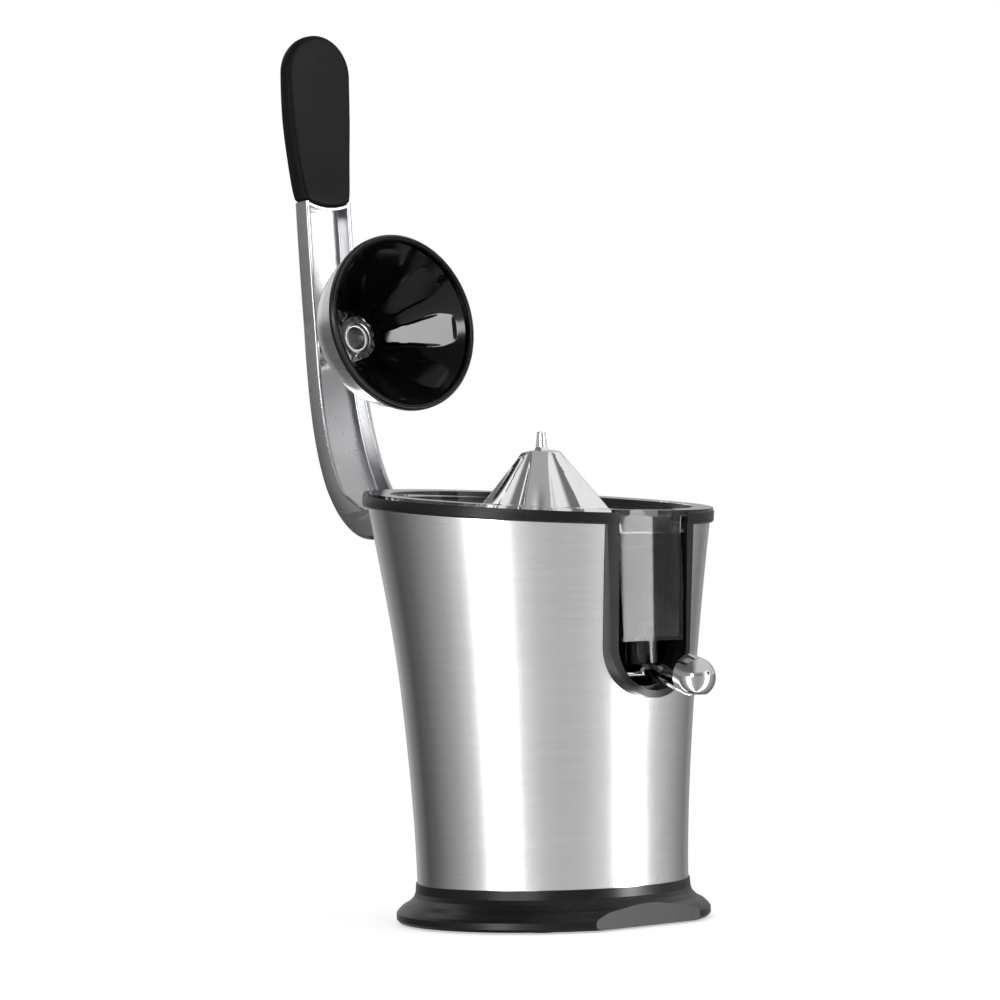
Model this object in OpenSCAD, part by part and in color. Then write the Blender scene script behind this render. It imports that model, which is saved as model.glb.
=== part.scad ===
// Lever citrus press with a motor driven reamer, millimetres.
// +Z is up, the spout faces -Y, the lever hinges at the back. The origin is on the table, under the reamer's axis.
// The lever is drawn raised. Everything on it is placed from the closed position by one turn about the hinge.

/* [Body] */
// Radius of the steel housing where it enters the base
waist_r = 75.6; // [72:0.2:80]
// Radius of the housing at the rim, at the front and sides
rim_r = 94.6; // [92:0.2:98]
// How much farther the rim reaches at the back
rim_reach = 8.6; // [7:0.2:9.4]
// Height of the rim above the table, on the reamer's axis
rim_h = 230.5; // [226:0.5:236]
// Slope of the rim down towards the spout, in degrees
rim_slope = 6; // [4:0.5:7]
// Sheet thickness of the steel housing
sheet_t = 0.8; // [0.6:0.1:1.2]
// Height where the steel housing stands in the base
housing_z = 19; // [18:0.2:20]

/* [Base] */
// Largest radius of the base
base_r = 87.5; // [84:0.5:92]
// Height of the base's collar
base_h = 22.2; // [21.6:0.2:26]
// Distance of the flat front facet from the axis
facet_y = 79; // [77:0.5:82]
// Radius of a rubber foot
foot_r = 8; // [6:0.5:10]
// Height of the feet under the base
foot_h = 1; // [0.8:0.1:1.5]

/* [Spout slot] */
// Half width of the spout frame
frame_half = 28.5; // [27.5:0.1:30]
// Width of the frame's band, seen from the front
frame_band = 3.9; // [3.5:0.1:4.5]
// Height of the centre of the frame's round lower end
slot_z = 151.9; // [150:0.1:154]
// Tilt of the spout tube below level, in degrees
spout_tilt = 17.5; // [14:0.5:20]
// Outer radius of the spout tube
spout_r = 10.9; // [10:0.1:11.4]
// Distance of the spout's end from the reamer axis, to the centre of its dome
spout_reach = 120.4; // [112:0.2:126]

/* [Juice bowl] */
// Wall of the clear juice bowl
bowl_t = 2.2; // [1.8:0.1:2.8]
// Height of the bowl's floor
bowl_z = 162; // [159:0.5:166]
// Outer radius of the drain nozzle
nozzle_r = 8.75; // [8:0.05:9]
// Distance of the drain nozzle from the axis
nozzle_y = 79; // [77:0.5:80]
// Number of slots in one ring of the strainer
strainer_slots = 36; // [24:2:44]

/* [Reamer] */
// Radius of the reamer's tall ribs at its foot
reamer_r = 46; // [44:0.5:47]
// Height of the reamer's foot
reamer_z = 214; // [212:0.5:216]
// Height of the shoulder below the pin
shoulder_z = 261.5; // [259:0.5:263]
// Height of the pin's tip
tip_z = 272; // [270:0.5:274]
// Radius of the pin
tip_r = 3.5; // [3:0.1:4]
// Number of tall ribs, with as many flat ones between them
tall_ribs = 4; // [3:1:5]

/* [Lever] */
// How far the hinge axis stands behind the steel rim
pivot_back = 15.3; // [15:0.1:18]
// How far the hinge axis lies below the rim's height
pivot_drop = 4.5; // [3.5:0.1:6]
// How far the raised lever leans back past upright, in degrees
lean = 6.7; // [5:0.1:8]
// Length of the channel along its back, from the ears to the grip
arm_len = 232; // [224:1:240]
// Depth of the channel
arm_depth = 13; // [12:0.5:15]
// Half width of the channel below the grip
arm_half = 17; // [16:0.5:18]
// Half width of the channel at the ears
ear_half = 20.2; // [19.5:0.1:22]
// Radius of the ears' round ends
ear_r = 9.5; // [9:0.1:10]
// Wall of the channel
arm_t = 3; // [2.5:0.1:3.5]
// Radius of the hinge pin
pin_r = 4; // [3.5:0.1:4.5]
// Height of the grip above the end of the channel
grip_len = 107; // [100:1:112]
// Half width of the grip near its end
grip_half = 24; // [21:0.1:25]

/* [Press head] */
// Radius of the press cone's lip
lip_r = 53; // [50:0.5:55]
// Depth of the cone from its mouth to the hub
cone_d = 49; // [48.5:0.1:51]
// Height of the cone's mouth above the table when closed
mouth_h = 215; // [214:0.1:217]
// Number of raised pads inside the cone
pads = 8; // [6:1:10]

/* [Drive] */
// Teeth of the motor pinion and of the lay gear's pinion
pinion_n = 12; // [12:1:12]
// Teeth of the large lay gear
lay_n = 48; // [48:1:48]
// Teeth of the output gear
output_n = 44; // [44:1:44]
// Module of the motor pinion's teeth
fine_m = 1.25; // [1.2:0.01:1.28]
// Module of the output gear's teeth
coarse_m = 1.5; // [1.46:0.01:1.52]
// Radius of the drive shaft
shaft_r = 4; // [3.5:0.1:4.4]
// Distance of the motor's axis from the reamer's axis
motor_y = 40; // [39:0.5:41]
// How far the reamer can be pressed down
press_travel = 2.5; // [2:0.1:3]

/* [Hidden] */

// Radial clearance of a running fit, gap between parts that only seat, gap round loose covers, overrun of cuts
run_gap = 0.05;
seat_gap = 0.1;
loose_gap = 0.3;
over = 1;
// Facets of round pieces, sides of the rim's outline, rows of the steel skin
round_fn = 64;
rim_sides = 64;
skin_rows = 9;

// The housing's flare: radius grows from flare_z with this power, and the back reaches out from reach_z
flare_z = housing_z + 5;
flare_power = 1.55;
reach_z = 150;

// Rim band and the bowl's flange, measured square to the rim's slope
band_t = 1.8;
band_h = 4;
band_out = 1.8;
flange_t = 3.4;
flange_out = 1.3;

// Liner: the well between the steel skin and the bowl
liner_gap = 3;
liner_t = 2.2;
liner_z = 118;
liner_floor = 3;
boss_r = 11;
boss_z = 150;
leg_r = 5;
leg_ring = 64;
leg_angles = [150, 210, 270, 330];
leg_z = foot_h + 3.2;

// Screws
screw_r = 1.6;
screw_head_r = 3.2;
screw_head_h = 1.8;
flat_head_r = 2.6;
flat_head_h = 0.9;

// Base ring and bottom cover
base_wall = 3;
collar_out = 0.7;
cover_t = 2.4;
cover_r = base_r - 6.5;
foot_ring = 70;
foot_angles = [45, 135, 225, 315];
vent_n = 9;
inlet_z = 12;
inlet_r = 6;
cord_r = 3.6;
inlet_l = 14;

// Spout frame and slot
frame_top_r = rim_r + 1;
frame_low_r = rim_r - 4.8;
frame_low_z = slot_z - frame_half;
slot_flare = 4.4;
frame_high_z = 222;
slot_top = rim_h + 20;
frame_in = frame_half - frame_band;
frame_step = 2.3;
slot_lap = 2.2;

// Juice bowl
bowl_gap = 8.2;
window_low = frame_in - 3;
window_high = frame_in + 0.7;
window_r = rim_r - 3.6;
window_z = 154;
nozzle_low = 142;
nozzle_t = 2;
chimney_r = 10;
chimney_z = 204;

// Strainer
strainer_t = 0.8;
strainer_z = 206;
strainer_rim_z = 212;

strainer_hole_r = 22;
strainer_slot_w = 1.6;

// Reamer
foot_flange_w = 1.5;
foot_flange_r = reamer_r + foot_flange_w;
foot_flange_t = 2;
flange_rise = 0.5;
shoulder_r = 7;
// Crest of the tall ribs: share of the height below the shoulder, share of the way from its radius to the foot's
crest_shares = [[0, 0], [0.017, 0.1], [0.042, 0.17], [0.084, 0.22], [0.126, 0.25], [0.8, 0.885], [1, 1]];
// Plane that trims a flat rib, by a point near the shoulder and one near the foot
flat_high_r = 13;
flat_high_z = shoulder_z - 4;
flat_low_r = reamer_r - 5.5;
flat_low_z = reamer_z + 9.5;
flat_lean = atan((flat_low_r - flat_high_r) / (flat_high_z - flat_low_z));
// Cone that cuts a flute, by its axis and radius near the shoulder and at the foot, lengthened past both
flute_low_r = 14;
flute_low_x = reamer_r + 11;
flute_high_r = 4.6;
flute_high_x = 20.5;
flute_high_z = shoulder_z - 6;
flute_lean = atan((flute_low_x - flute_high_x) / (flute_high_z - reamer_z));
flute_len = (flute_high_z - reamer_z) / cos(flute_lean);
flute_past_share = 0.2;
flute_turn = 80 / tall_ribs;
// Pin: share of its radius, share of its height
pin_shares = [[1.17, 0], [0.94, 0.18], [0.83, 0.5], [0.69, 0.94], [0.6, 1]];
pin_stem_r = tip_r - 1;
pin_h = tip_z - shoulder_z - run_gap;
hub_tip_r = 8;
hub_rib_t = 2;
hub_rib_h = 6;
hub_r = 17;
rib_len = 22;
hub_skirt_z = 196;
hub_top_z = 246;

// Shafts and gearbox levels
shaft_low = 70;
shaft_high = 240;
plate_z = 75;
plate_t = 4;
plate_r = 57;
plate_x = 8;
plate_y = 12;
cover_z = 104;
cover_plate_t = 3;
post_r = 3.5;
post_ring = 52;
post_angles = [76, 123, 184, 268, 322];
gear_t = 8;
lay_z = plate_z + plate_t + 3;
output_z = lay_z + gear_t + 2.5;
sleeve_r = 7;
collar_z = 112;
collar_t = 3;
spring_r = 6.6;
lay_pin_r = 2.5;
backlash = 0.12;

// Centre distances, and where the lay pin stands
output_gap = coarse_m * (output_n + pinion_n) / 2;
motor_gap = fine_m * (lay_n + pinion_n) / 2;
lay_cos = (output_gap * output_gap + motor_y * motor_y - motor_gap * motor_gap) / (2 * output_gap * motor_y);
lay_angle = 90 - acos(lay_cos);
lay_x = output_gap * cos(lay_angle);
lay_y = output_gap * sin(lay_angle);

// Motor
stator_r = 30;
stator_bore = 17.4;
stator_z = 32;
stator_h = 30;
core_gap = 0.6;
winding_r = 23.6;
winding_h = 4.5;
motor_shaft_r = 2.5;
motor_shaft_z = 12;
bracket_z = 14;
bracket_t = 3;
bolt_r = 1.7;
bolt_ring = 27.3;
commutator_r = 9;
commutator_z = 20;
commutator_h = 6.5;
fan_r = 23.5;
fan_z = 67.5;
fan_h = 5;
fan_n = 9;
pinion_z = plate_z + plate_t + 2.6;
pinion_h = 9;

// Switch under the shaft
switch_x = 10;
switch_y = 6;
switch_z = 54;
switch_h = 10;
plunger_r = 2;

// Hinge, tied to the rim
pivot_y = rim_r + rim_reach + pivot_back;
pivot_z = rim_h - pivot_drop;
lug_gap = 0.7;
lug_half = ear_half - arm_t - lug_gap;
lug_r = 8;
bracket_half = 21;
bracket_low = pivot_z - 20;
bracket_high = rim_h + 2.5;
pin_head_t = 1.6;
pin_head_r = 5.8;
groove_r = pin_r - 0.8;

// Lever channel: lean from upright along its back falls off as an exponential
lean_top = 3;
lean_foot = 86;
lean_run = 46;
spine_n = 46;
spine_step = arm_len / spine_n;
foot_y = pivot_y + 16.7;
ear_steps = 8;
ear_clear = 2.6;
taper_low = 248;
taper_high = 350;
web_r = 38;
web_t = 2.2;
tang_half = 9;
tang_t = 5.5;
tang_len = 72;

// Press head, in its own frame: +Z out of the mouth, 0 at the mouth
close_angle = 90 + lean;
lip_h = 4.5;
lip_t = 4;
cone_t = 2;
apex_r = 13.5;
apex_t = 2;
pad_t = 3.4;
pad_in = 17.5;
pad_out = 43;
pad_half_angle = 15;
bell_r = 50.2;
bell_top = lip_h + 1.7;
bell_low = 55.5;
bell_t = 2.2;
neck_r = 12.5;
bell_shares = [[1, 0], [0.985, 0.1], [0.96, 0.24], [0.895, 0.4], [0.785, 0.565], [0.62, 0.725], [0.44, 0.85],
    [neck_r / bell_r, 1]];
ring_in = 9.5;
ring_out = 13;
ring_h = 3;
ring_teeth = 14;
cap_r = 9.2;
cap_h = 5;
recess_r = tip_r + 3;
recess_gap = 1.5;

// Where the mouth's centre stands with the lever raised
mouth_dy = -pivot_y;
mouth_dz = mouth_h - pivot_z;
mouth_y = pivot_y + mouth_dy * cos(close_angle) + mouth_dz * sin(close_angle);
mouth_z = pivot_z - mouth_dy * sin(close_angle) + mouth_dz * cos(close_angle);
recess_low = tip_z - mouth_h + recess_gap;

// Spout
spout_t = 1.5;
spout_end_z = 134.2;
spout_pin_y = 83;
spout_pin_z = 136.2;
spout_pin_r = 1.6;
spout_pin_half = 22;
spout_taper = 0.86;
spout_back_y = 69;
notch_z = 141.5;
notch_y = 88;
notch_low_y = 113;
notch_low_z = 127.5;
notch_high_y = 117.5;
outlet_r = 6;

// Strainer: its rim rests on the bowl's flaring wall
strainer_rim_r = body_r(strainer_rim_z - seat_gap) - bowl_gap - bowl_t - seat_gap;
strainer_slope_r = strainer_rim_r - 5.5;
strainer_flat_r = strainer_rim_r - 21.5;

// Housing radius and back reach at a height, and the height of the sloping rim at a depth
function body_r(z) = waist_r + (rim_r - waist_r) * pow(max(0, (z - flare_z) / (rim_h - flare_z)), flare_power);
function body_reach(z) = rim_reach * max(0, (z - reach_z) / (rim_h - reach_z));
function rim_z(y) = rim_h + y * tan(rim_slope);
function skin_x(z, a, inset) = (body_r(z) - inset) * cos(a);
function skin_y(z, a, inset) = (body_r(z) - inset + (sin(a) > 0 ? body_reach(z) : 0)) * sin(a);
function skin_top(a, inset, drop, z, n) =
    n == 0 ? z : skin_top(a, inset, drop, rim_z(skin_y(z, a, inset)) - drop, n - 1);
function rim_outline(inset) = [for (i = [0:rim_sides - 1])
    let (a = 360 * i / rim_sides, z = skin_top(a, inset, 0, rim_h, 4))
    [skin_x(z, a, inset), skin_y(z, a, inset) / cos(rim_slope)]];

// Flared revolve: outline of the housing's round part between two heights, at an inset
function flare_side(inset, low, high, n) =
    [for (i = [0:n]) let (z = low + (high - low) * i / n) [body_r(z) - inset, z]];

// Lever channel: lean and points along its back, then points at a depth in front of the back
function arm_lean(s) = lean_top + lean_foot * exp(-s / lean_run);
function spine(n) = [for (i = 0, y = foot_y, z = pivot_z - ear_r; i <= n;
    a = arm_lean((i + 0.5) * spine_step), y = y + spine_step * sin(a), z = z + spine_step * cos(a), i = i + 1) [y, z]];
spine_pts = spine(spine_n);
function arm_edge(depth, first, last) = [for (i = [first:last])
    let (a = arm_lean(i * spine_step)) spine_pts[i] + depth * [-cos(a), sin(a)]];
function reversed(list) = [for (i = [len(list) - 1:-1:0]) list[i]];
arm_top = spine_pts[spine_n];

// Depth of the channel's back surface behind the mouth, along the head's axis
floor_w = -lookup(0, [for (p = spine_pts) [(p[0] - mouth_y) * sin(lean) + (p[1] - mouth_z) * cos(lean),
    (mouth_y - p[0]) * cos(lean) + (p[1] - mouth_z) * sin(lean)]]);
bolt_end = recess_low + 4;

// Corner in the ears' front edge. With the lever down it stands just behind and above the rim, so that they clear it.
ear_clear_y = rim_r + rim_reach + band_out + ear_clear - pivot_y;
ear_clear_z = rim_z(rim_r + rim_reach) + flange_t + ear_clear - pivot_z;
ear_corner = [pivot_y + ear_clear_y * cos(close_angle) + ear_clear_z * sin(close_angle),
    pivot_z - ear_clear_y * sin(close_angle) + ear_clear_z * cos(close_angle)];

// Involute gear outline: flank points from the base circle to the tip
function inv_point(rb, t) = [rb * (cos(t) + t * PI / 180 * sin(t)), rb * (sin(t) - t * PI / 180 * cos(t))];
function inv_angle(rb, r) = let (t = acos(min(1, rb / r))) tan(t) * 180 / PI - t;
function tooth(m, n, k) =
    let (rp = m * n / 2, rb = rp * cos(20), rt = rp + m, rr = rp - 1.2 * m,
        half = 90 / n - backlash / rp * 90 / PI + inv_angle(rb, rp),
        low = max(rb, rr))
    concat(
        [[rr, k - half]],
        [for (j = [0:3]) let (r = low + (rt - low) * j / 3) [r, k - half + inv_angle(rb, r)]],
        [for (j = [3:-1:0]) let (r = low + (rt - low) * j / 3) [r, k + half - inv_angle(rb, r)]],
        [[rr, k + half]]);
function gear_outline(m, n, phase) = [for (i = [0:n - 1])
    each [for (p = tooth(m, n, phase + i * 360 / n)) [p[0] * cos(p[1]), p[0] * sin(p[1])]]];

module revolve(points) rotate_extrude($fn = round_fn) polygon(points);

module tube(ro, ri, h) difference() {
    cylinder(r = ro, h = h, $fn = round_fn);
    translate([0, 0, -over]) cylinder(r = ri, h = h + 2 * over, $fn = round_fn);
}

// A shape drawn as (y, z), made 2 * half wide along X
module side_extrude(half) translate([-half, 0, 0]) rotate([90, 0, 90]) linear_extrude(2 * half) children();

// A shape drawn as (x, z), made to reach from y = near out to y = -far
module front_extrude(near, far) translate([0, -near, 0]) rotate([90, 0, 0]) linear_extrude(far - near) children();

module on_ring(radius, angles) for (a = angles) rotate(a) translate([radius, 0, 0]) children();

// Plate of the rim's outline, square to the rim's slope
module rim_plate(inset, low, high) translate([0, 0, rim_h]) rotate([rim_slope, 0, 0])
    translate([0, 0, low]) linear_extrude(high - low) polygon(rim_outline(inset));

// Everything above the rim's plane, moved up or down by lift
module above_rim(lift) translate([0, 0, rim_h]) rotate([rim_slope, 0, 0])
    translate([-2 * rim_r, -2 * rim_r, lift]) cube([4 * rim_r, 4 * rim_r, rim_r]);

module slot_shape(half, flare) {
    translate([0, slot_z]) circle(half, $fn = round_fn);
    polygon([[-half, slot_z], [half, slot_z], [half + flare, slot_top], [-half - flare, slot_top]]);
}

// Front of the clear window, a little narrower at its foot
module window_shape(inset) polygon([[inset - window_low, window_z + inset], [window_low - inset, window_z + inset],
    [window_high - inset, slot_top + inset], [inset - window_high, slot_top + inset]]);

// Thin skin that follows the housing from low up to the rim
module flared_shell(inset, wall, low, drop) {
    row = skin_rows + 1;
    pts = [for (s = [0, 1], i = [0:skin_rows], j = [0:rim_sides - 1])
        let (a = 360 * j / rim_sides, in = inset + s * wall, top = skin_top(a, in, drop, rim_h, 4),
            z = low + (top - low) * i / skin_rows)
        [skin_x(z, a, in), skin_y(z, a, in), z]];
    function at(s, i, j) = (s * row + i) * rim_sides + j % rim_sides;
    sides = [for (i = [0:skin_rows - 1], j = [0:rim_sides - 1]) each [
        [at(0, i, j), at(0, i + 1, j), at(0, i + 1, j + 1), at(0, i, j + 1)],
        [at(1, i, j + 1), at(1, i + 1, j + 1), at(1, i + 1, j), at(1, i, j)]]];
    ends = [for (j = [0:rim_sides - 1]) each [
        [at(0, skin_rows, j), at(1, skin_rows, j), at(1, skin_rows, j + 1), at(0, skin_rows, j + 1)],
        [at(0, 0, j + 1), at(1, 0, j + 1), at(1, 0, j), at(0, 0, j)]]];
    polyhedron(points = pts, faces = concat(sides, ends), convexity = 6);
}

// Solid inside the flare, grown by an inset below zero
module flared_solid(inset, low, high) revolve(concat([[0, low]], flare_side(inset, low, high, skin_rows), [[0, high]]));

module base_ring() color("#1c1c1e") difference() {
    revolve([[0, foot_h], [base_r - 1.6, foot_h], [base_r, foot_h + 1.6], [base_r, foot_h + 5],
        [base_r - 0.9, foot_h + 6.4], [base_r - 3.6, foot_h + 9], [waist_r + collar_out + 4, base_h - 10.3],
        [waist_r + collar_out + 1.3, base_h - 7.5], [waist_r + collar_out + 0.4, base_h - 5],
        [waist_r + collar_out, base_h], [0, base_h]]);
    intersection() {
        revolve([[0, 0], [cover_r + loose_gap, 0], [cover_r + loose_gap, foot_h + 3], [cover_r - 4, foot_h + 3],
            [cover_r - 4, foot_h + 5.6], [cover_r - 1, foot_h + 5.6], [cover_r - 1, foot_h + 7],
            [waist_r - base_wall, base_h - 6.3], [waist_r - base_wall, housing_z], [waist_r + seat_gap, housing_z],
            [waist_r + seat_gap, base_h + over], [0, base_h + over]]);
        translate([-base_r, base_wall - facet_y, -over]) cube([2 * base_r, 2 * base_r, 2 * base_h]);
    }
    translate([-base_r, -facet_y - base_r, -over]) cube([2 * base_r, base_r, base_h]);
    translate([0, waist_r - 2 * base_wall, inlet_z]) rotate([-90, 0, 0])
        cylinder(r = inlet_r + seat_gap, h = base_r, $fn = round_fn);
}

module bottom_cover() color("#2a2a2c") difference() {
    translate([0, 0, foot_h + 0.5]) intersection() {
        cylinder(r = cover_r, h = cover_t, $fn = round_fn);
        translate([-cover_r, base_wall + loose_gap - facet_y, 0]) cube([2 * cover_r, 2 * cover_r, cover_t]);
    }
    on_ring(foot_ring, foot_angles) cylinder(r = foot_r / 2 + seat_gap, h = base_h, $fn = round_fn);
    on_ring(leg_ring, leg_angles) cylinder(r = screw_r + seat_gap, h = base_h, $fn = round_fn);
    for (i = [0:vent_n - 1])
        translate([(i - (vent_n - 1) / 2) * 3 * base_wall, motor_y - stator_r / 2, 0])
            cube([base_wall, stator_r, base_h]);
}

module feet() color("#101010") on_ring(foot_ring, foot_angles) {
    cylinder(r = foot_r, h = foot_h + 0.5 - seat_gap, $fn = round_fn);
    cylinder(r = foot_r / 2, h = foot_h + cover_t + 1, $fn = round_fn);
    translate([0, 0, foot_h + 0.5 + cover_t + seat_gap]) cylinder(r1 = foot_r / 2 + 1.2, r2 = foot_r / 3, h = 2, $fn = round_fn);
}

module bottom_screws() color("silver") on_ring(leg_ring, leg_angles) {
    translate([0, 0, foot_h + 0.5 - screw_head_h - seat_gap + 0.6]) cylinder(r = screw_head_r, h = screw_head_h - 0.6, $fn = round_fn);
    translate([0, 0, foot_h]) cylinder(r = screw_r, h = leg_z + 6, $fn = round_fn);
}

module steel_housing() color("#c9cbcd") difference() {
    flared_shell(0, sheet_t, housing_z, band_t + seat_gap);
    front_extrude(frame_low_r / 2, 2 * rim_r) slot_shape(frame_half - slot_lap + loose_gap, slot_flare);
    translate([-lug_half - loose_gap, waist_r, pivot_z - lug_r - loose_gap])
        cube([2 * (lug_half + loose_gap), rim_r, 2 * (lug_r + loose_gap)]);
}

module rim_band() color("#18181a") difference() {
    union() {
        rim_plate(-band_out, -band_h + 0.8, 0);
        rim_plate(-band_out + 0.7, -band_h, 0);
    }
    rim_plate(-seat_gap, -band_h - over, -band_t);
    flared_solid(liner_gap + liner_t, slot_z, slot_top);
    front_extrude(frame_low_r / 2, 2 * rim_r) slot_shape(frame_in, 0);
}

module frame_ring(half, near) front_extrude(near, 2 * rim_r) difference() {
    slot_shape(half, slot_flare);
    slot_shape(frame_in, 0);
}

module spout_frame() color("#161618") difference() {
    intersection() {
        union() {
            difference() {
                frame_ring(frame_half, frame_low_r / 2);
                flared_solid(-0.35, frame_low_z - frame_half, slot_top);
            }
            frame_ring(frame_half - slot_lap, frame_low_r - 14);
            front_extrude(frame_low_r - 16, frame_low_r - 8) difference() {
                slot_shape(frame_half - slot_lap, slot_flare);
                slot_shape(frame_in - frame_step, 0);
            }
        }
        translate([0, 0, frame_low_z - 1]) cylinder(r1 = frame_low_r, r2 = frame_top_r,
            h = frame_high_z - frame_low_z + 20, $fn = 2 * round_fn);
    }
    above_rim(-band_h - seat_gap);
    flared_solid(bowl_gap - loose_gap, bowl_z - loose_gap, slot_top);
    translate([-spout_pin_half - seat_gap, -spout_pin_y, spout_pin_z]) rotate([0, 90, 0])
        cylinder(r = spout_pin_r + run_gap, h = 2 * (spout_pin_half + seat_gap), $fn = round_fn);
    // room for the window of the bowl
    front_extrude(frame_low_r / 2, 2 * rim_r) window_shape(-loose_gap);
}

module inner_liner() color("#141416") difference() {
    union() {
        difference() {
            flared_solid(liner_gap, liner_z, slot_top);
            revolve(concat([[0, liner_z + liner_floor]],
                flare_side(liner_gap + liner_t, liner_z + liner_floor, slot_top + over, skin_rows), [[0, slot_top + over]]));
        }
        translate([0, 0, liner_z]) cylinder(r = boss_r, h = boss_z - liner_z, $fn = round_fn);
        on_ring(leg_ring, leg_angles) translate([0, 0, leg_z]) cylinder(r = leg_r, h = liner_z - leg_z + over, $fn = round_fn);
    }
    above_rim(-band_t - seat_gap);
    front_extrude(frame_low_r / 2, 2 * rim_r) difference() {
        slot_shape(frame_half - slot_lap + loose_gap, slot_flare);
        translate([-rim_r, 0]) square([2 * rim_r, liner_z + liner_floor]);
    }
    translate([0, 0, boss_z - 14]) cylinder(r = shaft_r + 3, h = rim_r, $fn = round_fn);
    cylinder(r = collar_t + spring_r, h = boss_z - 14 - 3, $fn = round_fn);
    cylinder(r = shaft_r + 1, h = rim_h, $fn = round_fn);
    on_ring(leg_ring, leg_angles) cylinder(r = screw_r + run_gap, h = leg_z + 16, $fn = round_fn);
    // holes of the hinge bracket's screws
    for (x = [-1, 1]) translate([x * (lug_half - 4), rim_r / 2, bracket_low + 6]) rotate([-90, 0, 0])
        cylinder(r = screw_r + seat_gap, h = rim_r, $fn = round_fn);
}

module juice_bowl() color("#d9e2e6", 0.45) difference() {
    union() {
        flared_solid(bowl_gap, bowl_z, slot_top);
        rim_plate(-flange_out, seat_gap, flange_t);
        intersection() {
            translate([0, 0, window_z]) cylinder(r1 = window_r, r2 = window_r + 2, h = slot_top - window_z, $fn = 2 * round_fn);
            front_extrude(rim_r / 2, 2 * rim_r) window_shape(0);
        }
        translate([0, -nozzle_y, nozzle_low]) cylinder(r = nozzle_r, h = bowl_z - nozzle_low, $fn = round_fn);
    }
    difference() {
        union() {
            revolve(concat([[0, bowl_z + bowl_t]],
                flare_side(bowl_gap + bowl_t, bowl_z + bowl_t, slot_top + over, skin_rows), [[0, slot_top + over]]));
            intersection() {
                translate([0, 0, window_z]) cylinder(r1 = window_r - bowl_t, r2 = window_r + 2 - bowl_t,
                    h = slot_top - window_z, $fn = 2 * round_fn);
                front_extrude(nozzle_y - 2 * nozzle_r, 2 * rim_r) window_shape(bowl_t);
            }
        }
        cylinder(r = chimney_r + bowl_t, h = chimney_z, $fn = round_fn);
    }
    translate([0, -nozzle_y, 0]) cylinder(r = nozzle_r - nozzle_t, h = bowl_z, $fn = round_fn);
    cylinder(r = chimney_r, h = rim_h, $fn = round_fn);
    above_rim(flange_t);
}

module strainer() color("#b9bcbf") difference() {
    revolve([[strainer_hole_r, strainer_z + 3], [strainer_hole_r, strainer_z], [strainer_flat_r, strainer_z],
        [strainer_slope_r, strainer_rim_z], [strainer_rim_r - 1, strainer_rim_z], [strainer_rim_r - 1, strainer_rim_z + strainer_t],
        [strainer_slope_r - strainer_t / 2, strainer_rim_z + strainer_t], [strainer_flat_r - strainer_t / 2, strainer_z + strainer_t],
        [strainer_hole_r + strainer_t, strainer_z + strainer_t], [strainer_hole_r + strainer_t, strainer_z + 3]]);
    for (k = [0, 1], i = [0:strainer_slots - 1]) rotate((i + k / 2) * 360 / strainer_slots)
        translate([strainer_hole_r + 6 + k * 15, -strainer_slot_w / 2, strainer_z - over])
            cube([12, strainer_slot_w, strainer_t + 2 * over]);
}

module shaft_seal() color("#0c0c0c") translate([0, 0, boss_z - 5]) revolve([[shaft_r + 0.3, 0], [shaft_r + 3 - seat_gap, 0],
    [shaft_r + 3 - seat_gap, 5], [boss_r - 2, 5.2], [boss_r - 2, 6.5], [shaft_r + 2, 6.5], [shaft_r + 0.3, 9]]);

module shaft_bushes() color("#a6824a") {
    translate([0, 0, boss_z - 14]) tube(shaft_r + 3 - seat_gap, shaft_r + run_gap, 8.8);
    translate([0, 0, plate_z]) tube(sleeve_r + 3, sleeve_r + run_gap, plate_t + 2);
    translate([0, motor_y, plate_z]) tube(motor_shaft_r + 3, motor_shaft_r + run_gap, plate_t);
}

module at_motor() translate([0, motor_y, 0]) children();
module at_lay() translate([lay_x, lay_y, 0]) children();
module at_posts() translate([plate_x, plate_y, 0]) on_ring(post_ring, post_angles) children();

module gearbox_base() color("#3a3c3f") difference() {
    union() {
        translate([plate_x, plate_y, plate_z]) cylinder(r = plate_r, h = plate_t, $fn = round_fn);
        at_posts() translate([0, 0, plate_z]) cylinder(r = post_r, h = cover_z - plate_z, $fn = round_fn);
    }
    translate([0, 0, plate_z - over]) cylinder(r = sleeve_r + 3 + seat_gap, h = rim_r, $fn = round_fn);
    at_motor() translate([0, 0, plate_z - over]) cylinder(r = motor_shaft_r + 3 + seat_gap, h = rim_r, $fn = round_fn);
    at_lay() translate([0, 0, plate_z - over]) cylinder(r = lay_pin_r + run_gap, h = rim_r, $fn = round_fn);
    at_motor() on_ring(bolt_ring, foot_angles) translate([0, 0, plate_z - over])
        cylinder(r = bolt_r + run_gap, h = plate_t + 2 * over, $fn = round_fn);
    at_posts() translate([0, 0, cover_z - 12]) cylinder(r = screw_r + run_gap, h = 20, $fn = round_fn);
}

module gearbox_cover() color("#3a3c3f") difference() {
    union() {
        translate([plate_x, plate_y, cover_z + seat_gap]) cylinder(r = plate_r, h = cover_plate_t, $fn = round_fn);
        at_posts() translate([0, 0, cover_z + seat_gap]) tube(post_r + 1, screw_head_r + seat_gap, liner_z - cover_z - 2 * seat_gap);
    }
    cylinder(r = spring_r + 1.2, h = rim_h, $fn = round_fn);
    at_lay() cylinder(r = lay_pin_r + run_gap, h = rim_h, $fn = round_fn);
    at_posts() cylinder(r = screw_r + seat_gap, h = rim_h, $fn = round_fn);
}

module gearbox_screws() color("silver") at_posts() {
    translate([0, 0, cover_z + cover_plate_t + 2 * seat_gap]) cylinder(r = screw_head_r, h = screw_head_h, $fn = round_fn);
    translate([0, 0, cover_z - 10]) cylinder(r = screw_r, h = 10 + cover_plate_t + 3 * seat_gap, $fn = round_fn);
}

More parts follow.
